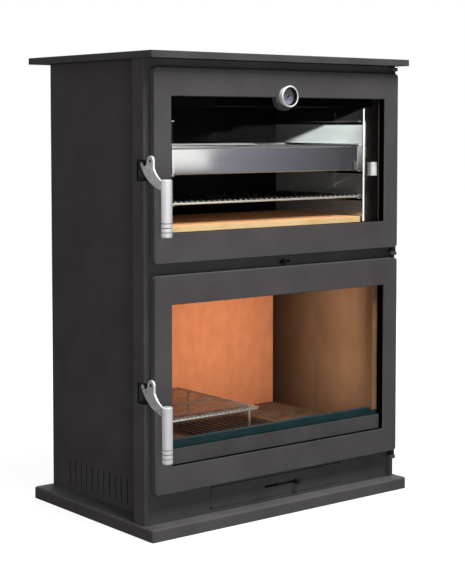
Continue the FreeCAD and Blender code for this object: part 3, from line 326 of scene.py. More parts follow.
def second_finish(piece, material, picks):
    """Give the faces that a test picks another material."""
    piece.data.materials.append(material)
    for face in piece.data.polygons:
        if picks(face):
            face.material_index = 1
    return piece


def solid_of(name, work, material):
    """Smooth, painted piece of an edit mesh, which is used up."""
    mesh = bpy.data.meshes.new(name)
    work.to_mesh(mesh)
    work.free()
    return paint(smooth(add_piece(name, mesh)), material)


def slab(name, low, high, round_by, material):
    """Plate between two corners in mm, its edges rounded by so many mm."""
    work = bmesh.new()
    bmesh.ops.create_cube(work, size=1)
    low, high = Vector(low) * MM, Vector(high) * MM
    work.transform(Matrix.Translation((low + high) / 2) @ Matrix.Diagonal((*(high - low), 1)))
    bmesh.ops.bevel(work, geom=work.edges, offset=round_by * MM, segments=2, affect="EDGES")
    return solid_of(name, work, material)


FLAT_ANGLE = math.radians(0.3)  # faces that bend less than this become one
EDGE_ANGLE = math.radians(40)  # edges that bend more than this are rounded


def soften(node, material, width=0.0, segments=2):
    """Copy of a CAD node with edges rounded by width mm and smooth faces, shown in its place."""
    mesh = frame["nodes"][node].data.copy()
    work = bmesh.new()
    work.from_mesh(mesh)
    bmesh.ops.remove_doubles(work, verts=work.verts, dist=WELD)
    bmesh.ops.dissolve_limit(work, angle_limit=FLAT_ANGLE, verts=work.verts, edges=work.edges)
    work.to_mesh(mesh)
    work.free()
    piece = add_piece(f"{node}_finished", mesh)
    if width:
        bevel = piece.modifiers.new("edges", "BEVEL")
        bevel.width = width * MM
        bevel.segments = segments
        bevel.limit_method = "ANGLE"
        bevel.angle_limit = EDGE_ANGLE
        plain_mesh(piece)
    paint(smooth(piece), material)
    return stand_for(piece, node)


def turned(name, profile, centre, axis, material, steps=64):
    """Lathe-turned solid: (radius, length) pairs in mm from foot to tip, on an axis at a centre."""
    work = bmesh.new()
    points = [work.verts.new((radius * MM, 0, along * MM)) for radius, along in profile]
    edges = [work.edges.new(pair) for pair in zip(points, points[1:])]
    bmesh.ops.spin(work, geom=points + edges, cent=(0, 0, 0), axis=(0, 0, 1), angle=math.tau,
                   steps=steps)
    bmesh.ops.remove_doubles(work, verts=work.verts, dist=WELD / 2)
    bmesh.ops.recalc_face_normals(work, faces=work.faces)
    turn = Vector((0, 0, 1)).rotation_difference(Vector(axis)).to_matrix().to_4x4()
    work.transform(Matrix.Translation(Vector(centre) * MM) @ turn)
    return solid_of(name, work, material)


def rounded_path(corners, radius, steps=6):
    """Closed path in mm through corners, each turned with an arc."""
    path = []
    for i, corner in enumerate(corners):
        here = Vector(corner)
        back = (Vector(corners[i - 1]) - here).normalized()
        ahead = (Vector(corners[(i + 1) % len(corners)]) - here).normalized()
        centre = here + (back + ahead) * radius
        for step in range(steps + 1):
            turn = step / steps * math.pi / 2
            path.append(centre - ahead * radius * math.cos(turn) - back * radius * math.sin(turn))
    return path


def bent_rod(name, path, radius, material, closed=False, sides=4):
    """Round rod of radius mm along a path in mm."""
    curve = bpy.data.curves.new(name, "CURVE")
    curve.dimensions = "3D"
    curve.bevel_depth = radius * MM
    curve.bevel_resolution = sides
    curve.use_fill_caps = True
    line = curve.splines.new("POLY")
    line.points.add(len(path) - 1)
    for point, place in zip(line.points, path):
        point.co = (*(Vector(place) * MM), 1)
    line.use_cyclic_u = closed
    source = bpy.data.objects.new(name + "_path", curve)
    mesh = bpy.data.meshes.new_from_object(source)
    bpy.data.objects.remove(source)
    mesh.name = name
    mesh.shade_smooth()
    return paint(add_piece(name, mesh), material)


def shell(name, low, high, corner, profile, material):
    """Pressed shell: rounded rectangles in a box in mm, each (inset, height), joined and capped."""
    work = bmesh.new()
    rings = []
    for inset, rise in profile:
        x0, x1, y0, y1 = low.x + inset, high.x - inset, low.y + inset, high.y - inset
        z = low.z + rise
        path = rounded_path([(x0, y0, z), (x1, y0, z), (x1, y1, z), (x0, y1, z)],
                            max(corner - inset, 1))
        rings.append([work.verts.new(place * MM) for place in path])
    for ring, following in zip(rings, rings[1:]):
        for k in range(len(ring)):
            work.faces.new((ring[k - 1], ring[k], following[k], following[k - 1]))
    work.faces.new(rings[0])
    work.faces.new(rings[-1])
    bmesh.ops.recalc_face_normals(work, faces=work.faces)
    return solid_of(name, work, material)


def joined(name, pieces):
    """One piece of several, with their meshes and materials kept."""
    with bpy.context.temp_override(active_object=pieces[0], selected_editable_objects=pieces):
        bpy.ops.object.join()
    pieces[0].name = name
    return pieces[0]


# Geometry nodes for what repeats
def new_tree(name, inputs):
    """Geometry tree with a geometry input, named inputs and a geometry output."""
    tree = bpy.data.node_groups.new(name, "GeometryNodeTree")
    tree.interface.new_socket("Geometry", in_out="INPUT", socket_type="NodeSocketGeometry")
    for label, kind in inputs.items():
        tree.interface.new_socket(label, in_out="INPUT", socket_type=f"NodeSocket{kind}")
    tree.interface.new_socket("Geometry", in_out="OUTPUT", socket_type="NodeSocketGeometry")
    return tree, add(tree, "NodeGroupInput").outputs


def close_tree(tree, given, points, model, **more):
    """End of each tree: the model on every point, as real geometry with its finish."""
    placed = add(tree, "GeometryNodeInstanceOnPoints",
                 {"Points": points, "Instance": model, **more})
    real = add(tree, "GeometryNodeRealizeInstances", {"Geometry": placed.outputs["Instances"]})
    done = add(tree, "GeometryNodeSetMaterial",
               {"Geometry": real.outputs["Geometry"], "Material": given["Finish"]})
    add(tree, "NodeGroupOutput", {"Geometry": done.outputs["Geometry"]})
    return tree


def straight_row():
    """The piece repeated along a straight row."""
    tree, given = new_tree("straight_row", {"Count": "Int", "Step": "Vector", "Finish": "Material"})
    line = add(tree, "GeometryNodeMeshLine", {"Count": given["Count"], "Offset": given["Step"]},
               mode="OFFSET")
    return close_tree(tree, given, line.outputs["Mesh"], given["Geometry"])


def dial_ring():
    """The piece, modelled above a centre, repeated round that centre in the plane of the dial."""
    tree, given = new_tree("dial_ring", {"Count": "Int", "Centre": "Vector", "First": "Float",
                                         "Turn": "Float", "Finish": "Material"})
    line = add(tree, "GeometryNodeMeshLine",
               {"Count": given["Count"], "Start Location": given["Centre"], "Offset": (0, 0, 0)},
               mode="OFFSET")
    index = add(tree, "GeometryNodeInputIndex").outputs["Index"]
    angle = add(tree, "ShaderNodeMath", {0: index, 1: given["Turn"], 2: given["First"]},
                operation="MULTIPLY_ADD")
    turn = add(tree, "ShaderNodeCombineXYZ", {"Y": angle.outputs["Value"]})
    return close_tree(tree, given, line.outputs["Mesh"], given["Geometry"],
                      Rotation=turn.outputs["Vector"])


def on_places():
    """A model piece set on every given point."""
    tree, given = new_tree("on_places", {"Model": "Object", "Finish": "Material"})
    model = add(tree, "GeometryNodeObjectInfo", {"Object": given["Model"]})
    points = add(tree, "GeometryNodeMeshToPoints", {"Mesh": given["Geometry"]})
    return close_tree(tree, given, points.outputs["Points"], model.outputs["Geometry"])


def along_path():
    """A model piece set along a path at a pitch, its Z turned to the path."""
    tree, given = new_tree("along_path",
                           {"Model": "Object", "Pitch": "Float", "Finish": "Material"})
    model = add(tree, "GeometryNodeObjectInfo", {"Object": given["Model"]})
    path = add(tree, "GeometryNodeMeshToCurve", {"Mesh": given["Geometry"]})
    spaced = add(tree, "GeometryNodeResampleCurve",
                 {"Curve": path.outputs["Curve"], "Length": given["Pitch"]}, mode="LENGTH")
    tangent = add(tree, "GeometryNodeInputTangent").outputs["Tangent"]
    turn = add(tree, "FunctionNodeAlignRotationToVector", {"Vector": tangent}, axis="Z")
    return close_tree(tree, given, spaced.outputs["Curve"], model.outputs["Geometry"],
                      Rotation=turn.outputs["Rotation"])


ROW, RING, PLACES, PATH = straight_row(), dial_ring(), on_places(), along_path()


def grow(name, tree, mesh, **inputs):
    """Plain mesh piece that a tree makes from a mesh and its named inputs."""
    piece = add_piece(name, mesh)
    modifier = piece.modifiers.new("grow", "NODES")
    modifier.node_group = tree
    known = {item.name: item.identifier for item in tree.interface.items_tree
             if item.in_out == "INPUT"}
    for label, value in inputs.items():
        modifier[known[label]] = value
    return plain_mesh(piece)


def points_mesh(name, places, closed=False):
    """Mesh of bare points in mm, joined into a loop when closed."""
    mesh = bpy.data.meshes.new(name)
    count = len(places)
    edges = [(i, (i + 1) % count) for i in range(count)] if closed else []
    mesh.from_pydata([tuple(Vector(place) * MM) for place in places], edges, [])
    return mesh


def at_places(name, model, places, material):
    """The model piece on every place; the model is used up."""
    piece = grow(name, PLACES, points_mesh(name, places), Model=model, Finish=material)
    bpy.data.objects.remove(model)
    return piece


# Casing of sheet steel
NOTCH_EDGE = -379  # X in mm of the latch notches' inner edge
NOTCH_BELOW, NOTCH_ABOVE = 45, 3  # reach of a notch in mm from its stud
# The oven's header plate is a black sheet of painted shade.
HEADER_FOOT = 981  # Z in mm of the lower edge of the oven's header plate


def casing():
    """Plinth, panels, frame, top, drawer, sliders and inner walls with soft folds."""
    soften("base_plinth", plinth_paint_painted_light)
    soften("top_plate", stove_paint)
    for node in ("left_side_panel", "right_side_panel", "back_panel"):
        soften(node, stove_paint, width=0.5)
    front = soften("front_frame", stove_paint, width=1.2, segments=3)
    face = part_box("front_frame")[0].y
    studs = [(low.z + high.z) / 2 for low, high in solid_boxes("catch_studs")]

    def in_notch_shade(part):
        return (part.center.x < NOTCH_EDGE * MM and part.center.y > face + 0.3 * MM
                and any(-NOTCH_BELOW < part.center.z / MM - z < NOTCH_ABOVE for z in studs))

    # The inner faces of the latch notches are coloured black: painted shade.
    second_finish(front, black_enamel_and_painted_shade, in_notch_shade)
    for node, finish, width in (("ash_drawer", stove_paint, 0.5), ("hinge_lugs", stove_paint, 1.0),
                                ("fire_glass_trim", stove_paint, 0.6),
                                ("flue_collar", door_paint, 0.8), ("hinge_pins", knob_steel, 0.4),
                                ("catch_studs", scale_steel, 0.4)):
        soften(node, finish, width)
    soften("primary_air_slider", knob_steel, width=0.8, segments=3)
    slider = soften("secondary_air_slider", knob_steel, width=0.8, segments=3)
    second_finish(slider, stove_paint, lambda part: part.center.y > face)
    for node in ("inner_left_wall", "inner_right_wall", "inner_back_wall", "smoke_box_roof",
                 "firebox_floor", "ash_drawer_runners", "oven_mouth_flange"):
        soften(node, scale_steel, width=0.3)
    low, high = box_mm("oven_mouth_flange")
    side, thick = 6, 0.8
    # Black sheet over the top of the oven's mouth: painted shade.
    header = slab("oven_header_plate", (low.x + side, low.y - thick, HEADER_FOOT),
                  (high.x - side, low.y, high.z - 2), 0.2, black_enamel_and_painted_shade)
    sit_on(header, "oven_mouth_flange")


def pan_screw(name, radius, height, axis):
    """Pan-head screw with a round recess, its seat at the origin, facing along an axis."""
    sunk = -0.2
    profile = [(0, sunk), (radius, sunk), (radius, height * 0.3), (radius * 0.86, height * 0.78),
               (radius * 0.6, height), (radius * 0.46, height), (radius * 0.42, height * 0.4),
               (0, height * 0.4)]
    return turned(name, profile, (0, 0, 0), axis, zinc_plate, steps=12)


def solid_boxes(node):
    """Lowest and highest corner in mm of each separate solid of a CAD node."""
    work = bmesh.new()
    work.from_mesh(frame["nodes"][node].data)
    bmesh.ops.remove_doubles(work, verts=work.verts, dist=WELD)
    waiting, boxes = set(work.verts), []
    while waiting:
        front = [waiting.pop()]
        found = list(front)
        while front:
            near = {edge.other_vert(vert) for vert in front for edge in vert.link_edges} & waiting
            waiting -= near
            front = list(near)
            found += front
        places = [vert.co / MM for vert in found]
        boxes.append([Vector(pick(place[k] for place in places) for k in range(3))
                      for pick in (min, max)])
    work.free()
    return boxes


def screws(node, axis):
    """Pan-head screws in the places of a CAD node's plain ones, facing along an axis."""
    boxes = solid_boxes(node)
    size = boxes[0][1] - boxes[0][0]
    facing = Vector(axis)
    height = abs(size.dot(facing))
    radius = max(size) / 2
    seats = [(low + high) / 2 - facing * height / 2 for low, high in boxes]
    model = pan_screw("screw", radius, height, axis)
    stand_for(at_places(f"{node}_pan_head", model, seats, zinc_plate), node)


def casing_screws():
    """Screws that hold the flue collar and the back panel."""
    screws("flue_collar_screws", (0, 0, 1))
    low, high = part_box("back_panel")
    inset = 14
    x, y = high.x / MM - inset, high.y / MM
    heights = [(low.z + (high.z - low.z) * share) / MM for share in (0.03, 0.26, 0.5, 0.74, 0.97)]
    places = [(side, y, z) for side in (-x, x) for z in heights]
    places += [(share * x, y, z) for share in (-0.5, 0, 0.5) for z in (heights[0], heights[-1])]
    model = pan_screw("screw", radius=4.2, height=2.4, axis=(0, 1, 0))
    sit_on(at_places("back_panel_screws", model, places, knob_steel), "back_panel")


# Firebox
GUARD_END, GUARD_END_HALF = 319, 18  # middle and half width in mm of the guard's end plates
GUARD_END_FRONT, GUARD_END_BACK = -216.2, -214.8  # their faces' Y in mm


def firebox():
    """Boards with their retaining strips, bricks, grate and guard."""
    soften("back_fire_board", back_board, width=1.0)
    for node in ("left_fire_board", "right_fire_board", "baffle_board"):
        soften(node, side_board_painted_shade, width=1.0)
    soften("hearth_bricks", fire_brick, width=2.0, segments=3)
    soften("fire_grate", cast_iron, width=0.8)
    soften("log_guard", guard_enamel_painted_reflection, width=0.8, segments=3)
    low, high = box_mm("log_guard")
    ends = [slab("end", (x - GUARD_END_HALF, GUARD_END_FRONT, low.z),
                 (x + GUARD_END_HALF, GUARD_END_BACK, high.z - 5), 0.4, guard_enamel_painted_reflection)
            for x in (-GUARD_END, GUARD_END)]
    sit_on(joined("log_guard_end_plates", ends), "log_guard")
    thick = 1.2
    for side in ("left", "right"):
        low, high = box_mm(f"{side}_fire_board")
        heights = [low.z + (high.z - low.z) * share for share in (0.12, 0.5, 0.88)]
        seats = [((low.x + high.x) / 2, low.y - thick, z) for z in heights]
        strip = slab("strip", (low.x, low.y - thick, low.z + 24), (high.x, low.y, high.z), 0.4,
                     strip_painted_shade)
        model = pan_screw("screw", radius=3.5, height=0.9, axis=(0, -1, 0))
        heads = at_places("heads", model, seats, strip_painted_shade)
        strip = joined(f"{side}_board_retaining_strip", [strip, heads])
        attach(strip, body_of["front_frame"])


# Oven
def oven():
    """Liner, runners, tile and tray."""
    for node in ("oven_floor", "oven_runners"):
        soften(node, stainless, width=0.3)
    for node in ("oven_left_wall", "oven_right_wall"):
        soften(node, wall_stainless_painted_shade, width=0.3)
    low, high = box_mm("oven_right_wall")
    x, y = low.x + 1, low.y - 1.2
    lip = [(x, y, low.z + 6), (x, y, high.z - 4)]
    # The bead at the right wall's front edge takes the brighter aluminium: painted highlight.
    sit_on(bent_rod("oven_mouth_bright_bead", lip, 1.9, aluminium_painted_highlight), "oven_right_wall")
    for node in ("oven_back", "oven_roof"):
        soften(node, black_enamel_and_painted_shade, width=0.3)
    soften("oven_floor_tile", oven_tile_painted_shade_top, width=1.5, segments=3)

    # The tray's section runs up its outside, round the rolled rim and down its inside.
    low, high = box_mm("baking_tray")
    tall = high.z - low.z
    rim, outside, inside, neck = 4.6, 2.2, 3.6, tall - 9.6
    profile = [(8, 0), (5.2, 0.3), (3.2, 1.4), (outside, 3.6), (outside, neck)]
    profile += [(rim - rim * math.cos(turn), tall - rim + rim * math.sin(turn))
                for turn in [math.radians(degrees) for degrees in range(-50, 231, 20)]]
    profile += [(inside, neck), (inside, 5), (5, 2.6), (9, 1.4)]
    tray = shell("baking_tray_pressed", low, high, 12, profile, stainless)
    back, rolled = (high.y - 20) * MM, (high.z - 9.5) * MM
    second_finish(tray, brushed_stainless, lambda face: face.normal.y < 0.2
                  and face.center.y > back and face.center.z > rolled)
    stand_for(tray, "baking_tray")


def wire_shelf(node, wires, wire_radius, rod_radius, cross_shares, finish, rod_finish):
    """Parts of a wire shelf in a node's box, and the height of its rods.

    A bent rim and cross rods carry a row of wires, whose front ends are thicker and take the rim's
    bright finish: painted highlight.
    """
    low, high = box_mm(node)
    bend, margin, sunk = 9, 8, 0.4
    top = high.z - wire_radius
    rod_z = top - wire_radius - rod_radius + sunk
    left, right = low.x + rod_radius, high.x - rod_radius
    front, back = low.y + rod_radius, high.y - rod_radius
    corners = [(left, front, rod_z), (right, front, rod_z), (right, back, rod_z),
               (left, back, rod_z)]
    parts = [bent_rod("rim", rounded_path(corners, bend), rod_radius, rod_finish, closed=True)]
    for share in cross_shares:
        y = low.y + (high.y - low.y) * share
        ends = [(left, y, rod_z), (right, y, rod_z)]
        parts.append(bent_rod("cross", ends, rod_radius * 0.9, finish))
    step = (high.x - low.x - 2 * margin) / (wires - 1)
    x = low.x + margin
    for radius, start, end, rise, coat in (
            (wire_radius, low.y, high.y, 0, finish),
            (wire_radius + 0.6, low.y - 0.8, low.y + 2, 0.9, rod_finish)):
        ends = [(x, start, top + rise), (x, end, top + rise)]
        first = bent_rod("wire", ends, radius, coat, sides=2)
        parts.append(grow("wires", ROW, first.data, Count=wires, Step=(step * MM, 0, 0),
                          Finish=coat))
        bpy.data.objects.remove(first)
    return parts, rod_z


def shelves():
    """The oven's rack and the firebox's barbecue grill on its bent legs."""
    parts, _ = wire_shelf("oven_rack", 37, wire_radius=1.3, rod_radius=2.4,
                          cross_shares=(0.33, 0.67), finish=chrome_painted_shade, rod_finish=chrome_painted_highlight)
    stand_for(joined("oven_rack_wires", parts), "oven_rack")
    leg = 3.0
    parts, rod_z = wire_shelf("grill_rack", 23, wire_radius=1.3, rod_radius=leg,
                              cross_shares=(0.06, 0.5), finish=grill_wire, rod_finish=chrome_painted_highlight)
    low, high = box_mm("grill_rack")
    foot = low.z + leg
    for share in (0.12, 0.88):
        y = low.y + (high.y - low.y) * share
        bend = ((3, rod_z), (3, foot + 6), (5, foot + 1.8), (9, foot))
        path = [(low.x + inset, y, z) for inset, z in bend]
        path += [(high.x - inset, y, z) for inset, z in reversed(bend)]
        parts.append(bent_rod("leg", path, leg, chrome_painted_highlight))
    stand_for(joined("grill_rack_wires", parts), "grill_rack")


# Doors
def rope_seal(door):
    """Braided rope round the back of a door, of short plaits laid crosswise along its path."""
    node = f"{door}_door_gasket"
    low, high = box_mm(node)
    half, bend, lane_shift, pitch = 6.0, 16, 2.6, 3.6
    y = high.y - 3.1
    left, right, foot, head = low.x + half, high.x - half, low.z + half, high.z - half
    corners = [(left, y, foot), (right, y, foot), (right, y, head), (left, y, head)]
    parts = [bent_rod("core", rounded_path(corners, bend), 2.5, rope_fibre, closed=True, sides=2)]
    for lean in (-1, 1):
        strand = [(-2.1 * lean, -0.4, -2.6), (-0.8 * lean, -0.2, -1), (0.8 * lean, 0.2, 1),
                  (2.1 * lean, 0.4, 2.6)]
        plait = bent_rod("plait", strand, 1.5, rope_fibre, sides=1)
        for shift in (-lane_shift, lane_shift):
            lane = rounded_path([(cx + (shift if cx < 0 else -shift), y,
                                  cz + (shift if k < 2 else -shift))
                                 for k, (cx, _, cz) in enumerate(corners)], bend)
            parts.append(grow("lane", PATH, points_mesh("lane", lane, closed=True), Model=plait,
                              Pitch=pitch * MM, Finish=rope_fibre))
        bpy.data.objects.remove(plait)
    rope = joined(f"{door}_door_rope_seal", parts)
    rope.data.shade_smooth()
    stand_for(rope, node)


def window_painted_shade(door):
    """Black bands on the sides and the sill of a door's window, between the pane and the front:
    painted shade.

    At the right of the oven's window a black band over the pane is painted shadow, with a grey line
    and a black nub.
    """
    low, high = box_mm(f"{door}_door_glass")
    lap, tape = 11, 0.7
    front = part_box(f"{door}_door_frame")[0].y / MM + 1.5
    x, sill, head, y = high.x - lap, low.z + lap, high.z - lap, low.y
    bands = [slab("band", (side * x - tape, front, sill), (side * x + tape, y + 5.6, head), 0.2,
                  black_enamel_and_painted_shade) for side in (-1, 1)]
    bands.append(slab("band", (-x, front, sill - tape), (x, y, sill + tape), 0.2, black_enamel_and_painted_shade))
    # At the oven's window: painted shadow of the keeper's edge.
    if door == "oven":
        middle = (sill + head) / 2
        nub = [(0, -0.2), (3.6, -0.2), (3.6, 0.5), (3.2, 0.7), (0, 0.7)]
        bands += [slab("band", (x - 9, y - 0.6, sill), (x, y + 0.2, head), 0.2, black_enamel_and_painted_shade),
                  slab("band", (x - 6.4, y - 0.8, sill + 2), (x - 4.4, y - 0.5, head - 4), 0.1,
                       door_paint),
                  turned("nub", nub, (x - 9.5, y, middle), (0, -1, 0), black_enamel_and_painted_shade, steps=24)]
    sit_on(joined(f"{door}_window_seal", bands), f"{door}_door_gasket")


def doors():
    """Cast frames, panes, clips, clip screws, handle bolts, rope seals and painted window shade of
    both doors.
    """
    for door in ("oven", "fire"):
        soften(f"{door}_door_frame", door_paint)
        soften(f"{door}_door_glass", door_glass)
        soften(f"{door}_glass_clips", clip_zinc_painted_shade, width=0.35)
        screws(f"{door}_clip_screws", (0, 1, 0))
        soften(f"{door}_handle_bolt", knob_steel, width=0.6)
        rope_seal(door)
        window_painted_shade(door)


# Handles
GROOVES = (11.5, 21.5, 31.5)  # heights in mm of the grip's ring grooves above its foot


def grip_section(radius, length):
    """Section of a grip in mm: rounded ends and three ring grooves."""
    profile = [(0, 0), (radius - 2.2, 0), (radius - 0.9, 0.5), (radius - 0.2, 1.6), (radius, 3.0)]
    for groove in GROOVES:
        for reach, deep in ((-1.4, 0), (-1.1, 0.25), (-0.8, 0.9), (0.8, 0.9), (1.1, 0.25),
                            (1.4, 0)):
            profile.append((radius - deep, groove + reach))
    return profile + [(radius, length - 2.4), (radius - 0.3, length - 1.2),
                      (radius - 1.2, length - 0.4), (radius - 2.6, length), (0, length)]


def handles():
    """Cast levers with soft edges and painted highlights, and turned grips with painted shade in
    their grooves.
    """
    for door in ("oven", "fire"):
        lever = soften(f"{door}_handle_lever", cast_handle, width=1.1, segments=3)
        # Lever faces that don't face sideways take the brighter copy: painted highlight.
        second_finish(lever, aluminium_painted_highlight, lambda face: abs(face.normal.x) < 0.8)
        low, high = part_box(f"{door}_handle_grip")
        middle = (low + high) / 2 / MM
        radius, length = (high.x - low.x) / 2 / MM, (high.z - low.z) / MM
        grip = turned(f"{door}_handle_turned_grip", grip_section(radius, length),
                      (middle.x, middle.y, low.z / MM), (0, 0, 1), satin_grip)
        # Groove faces take the dark finish: painted shade.
        dark = (radius - 0.6) * MM
        axis = Vector((middle.x, middle.y)) * MM
        second_finish(grip, groove_painted_shade, lambda face: (face.center.xy - axis).length < dark
                      and low.z + 5 * MM < face.center.z < high.z - 5 * MM)
        stand_for(grip, f"{door}_handle_grip")


# Thermometer
SCALE_START, SCALE_TURN = -135, 270  # degrees from the top to the scale's start, and its length
SCALE_FIGURES = 6  # figures on the scale, a hundred degrees apart


def gauge_text(words, height, place):
    """Flat printed figure on the dial, height mm high, centred on a place."""
    curve = bpy.data.curves.new("figure", "FONT")
    curve.body = words
    curve.size = height * MM
    curve.align_x = "CENTER"
    curve.align_y = "CENTER"
    curve.extrude = 0.03 * MM
    source = bpy.data.objects.new("figure", curve)
    mesh = bpy.data.meshes.new_from_object(source)
    bpy.data.objects.remove(source)
    mesh.transform(Matrix.Translation(Vector(place) * MM) @ Matrix.Rotation(math.pi / 2, 4, "X"))
    return paint(add_piece("figure", mesh), dial_ink_and_painted_shade)


def gauge_case(x, z, radius):
    """Case with stem and thick bezel, black inside: painted shade."""
    low, high = box_mm("thermometer_case")
    door_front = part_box("oven_door_frame")[0].y / MM
    deep = door_front - low.y
    stem = door_front - high.y
    back = door_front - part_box("thermometer_dial")[1].y / MM - 0.2
    profile = [(0, stem), (3.4, stem), (4, stem + 1), (4, 0), (radius - 3.2, 0)]
    profile += [(radius - inset, deep - rise) for inset, rise in (
        (3.2, 6), (1.2, 5.4), (0.2, 4.2), (0, 2.8), (0.5, 1.3), (1.6, 0.3), (2.6, 0), (3.6, 0.5),
        (4.2, 1.6), (4.2, 3.4), (3.6, 3.4))]
    profile += [(radius - 3.6, back), (0, back)]
    case = turned("thermometer_bezel", profile, (x, door_front, z), (0, -1, 0), gauge_chrome,
                  steps=96)
    centre = Vector((x, door_front, z)) * MM
    wall = (radius - 3.3) * MM
    # The bezel's inner wall takes the black ink: painted shade.
    second_finish(case, dial_ink_and_painted_shade, lambda face: (face.center - centre).xz.length < wall
                  and 1 * MM < centre.y - face.center.y < (deep - 2) * MM)
    stand_for(case, "thermometer_case")


def gauge():
    """Thermometer: case, dial, lens, needle, the dial's print and a black ring of painted shade."""
    low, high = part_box("thermometer_case")
    x, z = (low.x + high.x) / 2 / MM, (low.z + high.z) / 2 / MM
    radius = (high.x - low.x) / 2 / MM
    gauge_case(x, z, radius)
    soften("thermometer_dial", dial_face_painted_light)
    soften("thermometer_lens", gauge_lens)
    soften("thermometer_needle", dial_ink_and_painted_shade, width=0.15)

    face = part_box("thermometer_dial")[0].y / MM - 0.03
    # A black ring round the dial's edge: painted shade of the bezel.
    inner, outer = radius - 6.6, radius - 4
    rim = [(inner, 0), (outer, 0), (outer, 0.4), (inner, 0.4), (inner, 0)]
    parts = [turned("ring", rim, (x, face, z), (0, -1, 0), dial_ink_and_painted_shade)]
    for count, start, end, half in ((51, 15.6, 17.6, 0.22), (11, 14.2, 17.6, 0.5)):
        tick = bpy.data.meshes.new("tick")
        corners = [(-half, -0.03, start), (half, -0.03, start), (half, -0.03, end),
                   (-half, -0.03, end)]
        tick.from_pydata([tuple(Vector(c) * MM) for c in corners], [], [(0, 1, 2, 3)])
        parts.append(grow("ticks", RING, tick, Count=count, Centre=Vector((x, face, z)) * MM,
                          First=math.radians(SCALE_START),
                          Turn=math.radians(SCALE_TURN / (count - 1)), Finish=dial_ink_and_painted_shade))
    ring = 10.6
    for step in range(SCALE_FIGURES):
        angle = math.radians(SCALE_START + SCALE_TURN / (SCALE_FIGURES - 1) * step)
        place = (x + ring * math.sin(angle), face, z + ring * math.cos(angle))
        parts.append(gauge_text(str(step * 100), 4.2, place))
    parts.append(gauge_text("\N{DEGREE SIGN}C", 4.4, (x, face, z - 7.5)))
    sit_on(joined("thermometer_print", parts), "thermometer_dial")


casing()
casing_screws()
firebox()
oven()
shelves()
doors()
handles()
gauge()


# Studio
def surround():
    """World that is white to look at and in reflections, and gives little light of its own."""
    world = bpy.data.worlds.new("white_studio")
    scene.world = world
    world.use_nodes = True
    tree = world.node_tree
    tree.nodes.clear()
    path = add(tree, "ShaderNodeLightPath").outputs
    seen = path["Is Camera Ray"]
    for ray in ("Is Glossy Ray", "Is Transmission Ray"):
        seen = add(tree, "ShaderNodeMath", {0: seen, 1: path[ray]},
                   operation="MAXIMUM").outputs["Value"]
    level = add(tree, "ShaderNodeMapRange", {"Value": seen, "To Min": 0.08, "To Max": 1.0})
    white = add(tree, "ShaderNodeBackground",
                {"Color": (1, 1, 1, 1), "Strength": level.outputs["Result"]})
    add(tree, "ShaderNodeOutputWorld", {"Surface": white.outputs["Background"]})


def stage_plate(name, corners, material):
    """Four-cornered plate in metres for the studio's floor and card."""
    mesh = bpy.data.meshes.new(name)
    mesh.from_pydata(corners, [], [(0, 1, 2, 3)])
    plate = paint(add_piece(name, mesh), material)
    return plate


def floor():
    """Grey floor that takes the shadow and is lifted to white for the camera."""
    material, tree, shader, place = new_material("matt_white_floor", Base_Color=linear("#6c6c6c"),
                                                 Roughness=0.9, Specular_IOR_Level=0.0)
    path = add(tree, "ShaderNodeLightPath").outputs
    far = add(tree, "ShaderNodeVectorMath", {0: place}, operation="LENGTH")
    pale = add(tree, "ShaderNodeMapRange", {"Value": far.outputs["Value"], "From Min": 0.4,
                                            "From Max": 2.0, "To Min": 0.9, "To Max": 1.0})
    lift = add(tree, "ShaderNodeMath", {0: path["Is Camera Ray"], 1: pale.outputs["Result"]},
               operation="MULTIPLY")
    shader.inputs["Emission Color"].default_value = (1, 1, 1, 1)
    tree.links.new(lift.outputs["Value"], shader.inputs["Emission Strength"])
    reach = 12
    stage_plate("floor", [(-reach, -reach, 0), (reach, -reach, 0), (reach, reach, 0),
                          (-reach, reach, 0)], material)


def dark_card():
    """Card seen in reflections alone, which keeps the panes clear and shades the steel."""
    left, right, foot, head = (1.36, -2.2), (3.1, -0.4), -1, 2.8
    fade_end = 1.75
    material, tree, shader, place = new_material("graded_card", Base_Color=(0, 0, 0, 1),
                                                 Specular_IOR_Level=0.0, Emission_Strength=1.0)
    along = add(tree, "ShaderNodeSeparateXYZ", {"Vector": place}).outputs["X"]
    share = add(tree, "ShaderNodeMapRange",
                {"Value": along, "From Min": left[0], "From Max": fade_end})
    ramp = add(tree, "ShaderNodeValToRGB", {"Fac": share.outputs["Result"]})
    for stop, tone in zip(ramp.color_ramp.elements, ("#827f8b", "#38363c")):
        stop.color = linear(tone)
    tree.links.new(ramp.outputs["Color"], shader.inputs["Emission Color"])
    card = stage_plate("dark_card", [(*left, foot), (*right, foot), (*right, head), (*left, head)],
                       material)
    card.visible_camera = card.visible_diffuse = False
    card.visible_shadow = card.visible_transmission = False


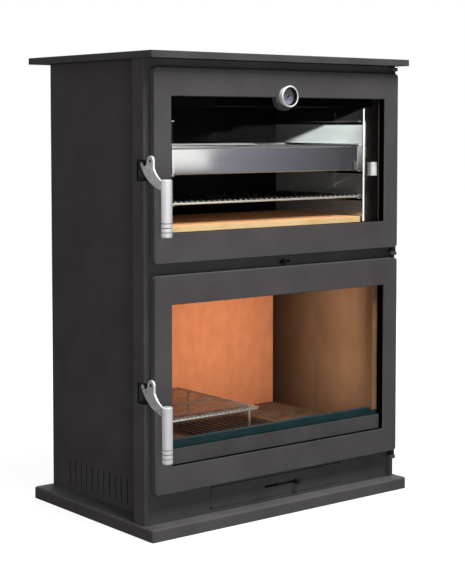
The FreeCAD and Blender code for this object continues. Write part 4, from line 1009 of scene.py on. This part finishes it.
# Name, kind, place and aim in metres, size in metres, power in watts and tone of each lamp.
OVEN_LAMPS = (-1.2, -2.1, 1.55)
LAMPS = (
    ("main_softbox", "AREA", (-2.0, -2.9, 0.5), (0, -0.2, 0.5), 1.4, 54, "#ffffff"),
    ("top_softbox", "AREA", (0.1, -1.9, 4.6), (0, -0.2, 0.2), 1.6, 330, "#ffffff"),
    ("side_softbox", "AREA", (-2.4, 0.6, 0.2), (-0.4, 0, 0.3), 0.6, 3.4, "#ffe4b0"),
    ("back_softbox", "AREA", (2.2, 2.8, 1.6), (0, 0, 0.5), 1.6, 110, "#ffffff"),
    ("oven_light", "AREA", OVEN_LAMPS, (0.31, 0, 0.92), 0.12, 150, "#ffffff"),
    ("oven_wall_light", "SPOT", OVEN_LAMPS, (0.308, -0.05, 0.925), 0.05, 2600, "#fbffff"),
    ("firebox_back_light", "AREA", (0.09, -0.18, 0.42), (0.12, 0.2, 0.42), 0.32, 1.7, "#fff6ea"),
    ("firebox_fill", "POINT", (0.0, -0.13, 0.27), (0, 0, 0), 0.1, 1.0, "#fff2e2"))
SPOT_CONE = math.radians(4.8)
# Two lamps reach the oven's contents alone, as light that slants in under its roof.
LAMP_REACH = {
    "oven_light": ("oven_runners_finished", "baking_tray_pressed", "oven_rack_wires",
                   "oven_mouth_bright_bead"),
    "oven_wall_light": ("oven_right_wall_finished",)}


def lamps():
    """Soft lamps, none of them seen or mirrored."""
    for name, kind, place, aim, size, power, tone in LAMPS:
        lamp = bpy.data.lights.new(name, kind)
        if kind == "AREA":
            lamp.size = size
        else:
            lamp.shadow_soft_size = size
        if kind == "SPOT":
            lamp.spot_size = SPOT_CONE
        lamp.energy = power
        lamp.color = linear(tone)[:3]
        light = bpy.data.objects.new(name, lamp)
        scene.collection.objects.link(light)
        light.location = place
        light.rotation_euler = (Vector(aim) - Vector(place)).to_track_quat("-Z", "Y").to_euler()
        light.visible_glossy = light.visible_camera = light.visible_transmission = False
        if name in LAMP_REACH:
            lit = bpy.data.collections.new(f"{name}_reach")
            for piece in LAMP_REACH[name]:
                lit.objects.link(bpy.data.objects[piece])
            light.light_linking.receiver_collection = lit


def photo_camera():
    """Camera fitted to the photograph's edges and corners."""
    pitch, yaw = 3.63, 38.53
    lens = bpy.data.cameras.new("photo_view")
    lens.sensor_width = 36
    lens.lens = 91.09
    lens.shift_y = -0.12
    lens.clip_end = 60
    camera = bpy.data.objects.new("photo_view", lens)
    scene.collection.objects.link(camera)
    camera.location = (-2.2379, -2.851, 0.9349)
    camera.rotation_euler = (math.radians(90 - pitch), 0, math.radians(-yaw))
    scene.camera = camera


surround()
floor()
dark_card()
lamps()
photo_camera()
scene.view_settings.view_transform = "Standard"
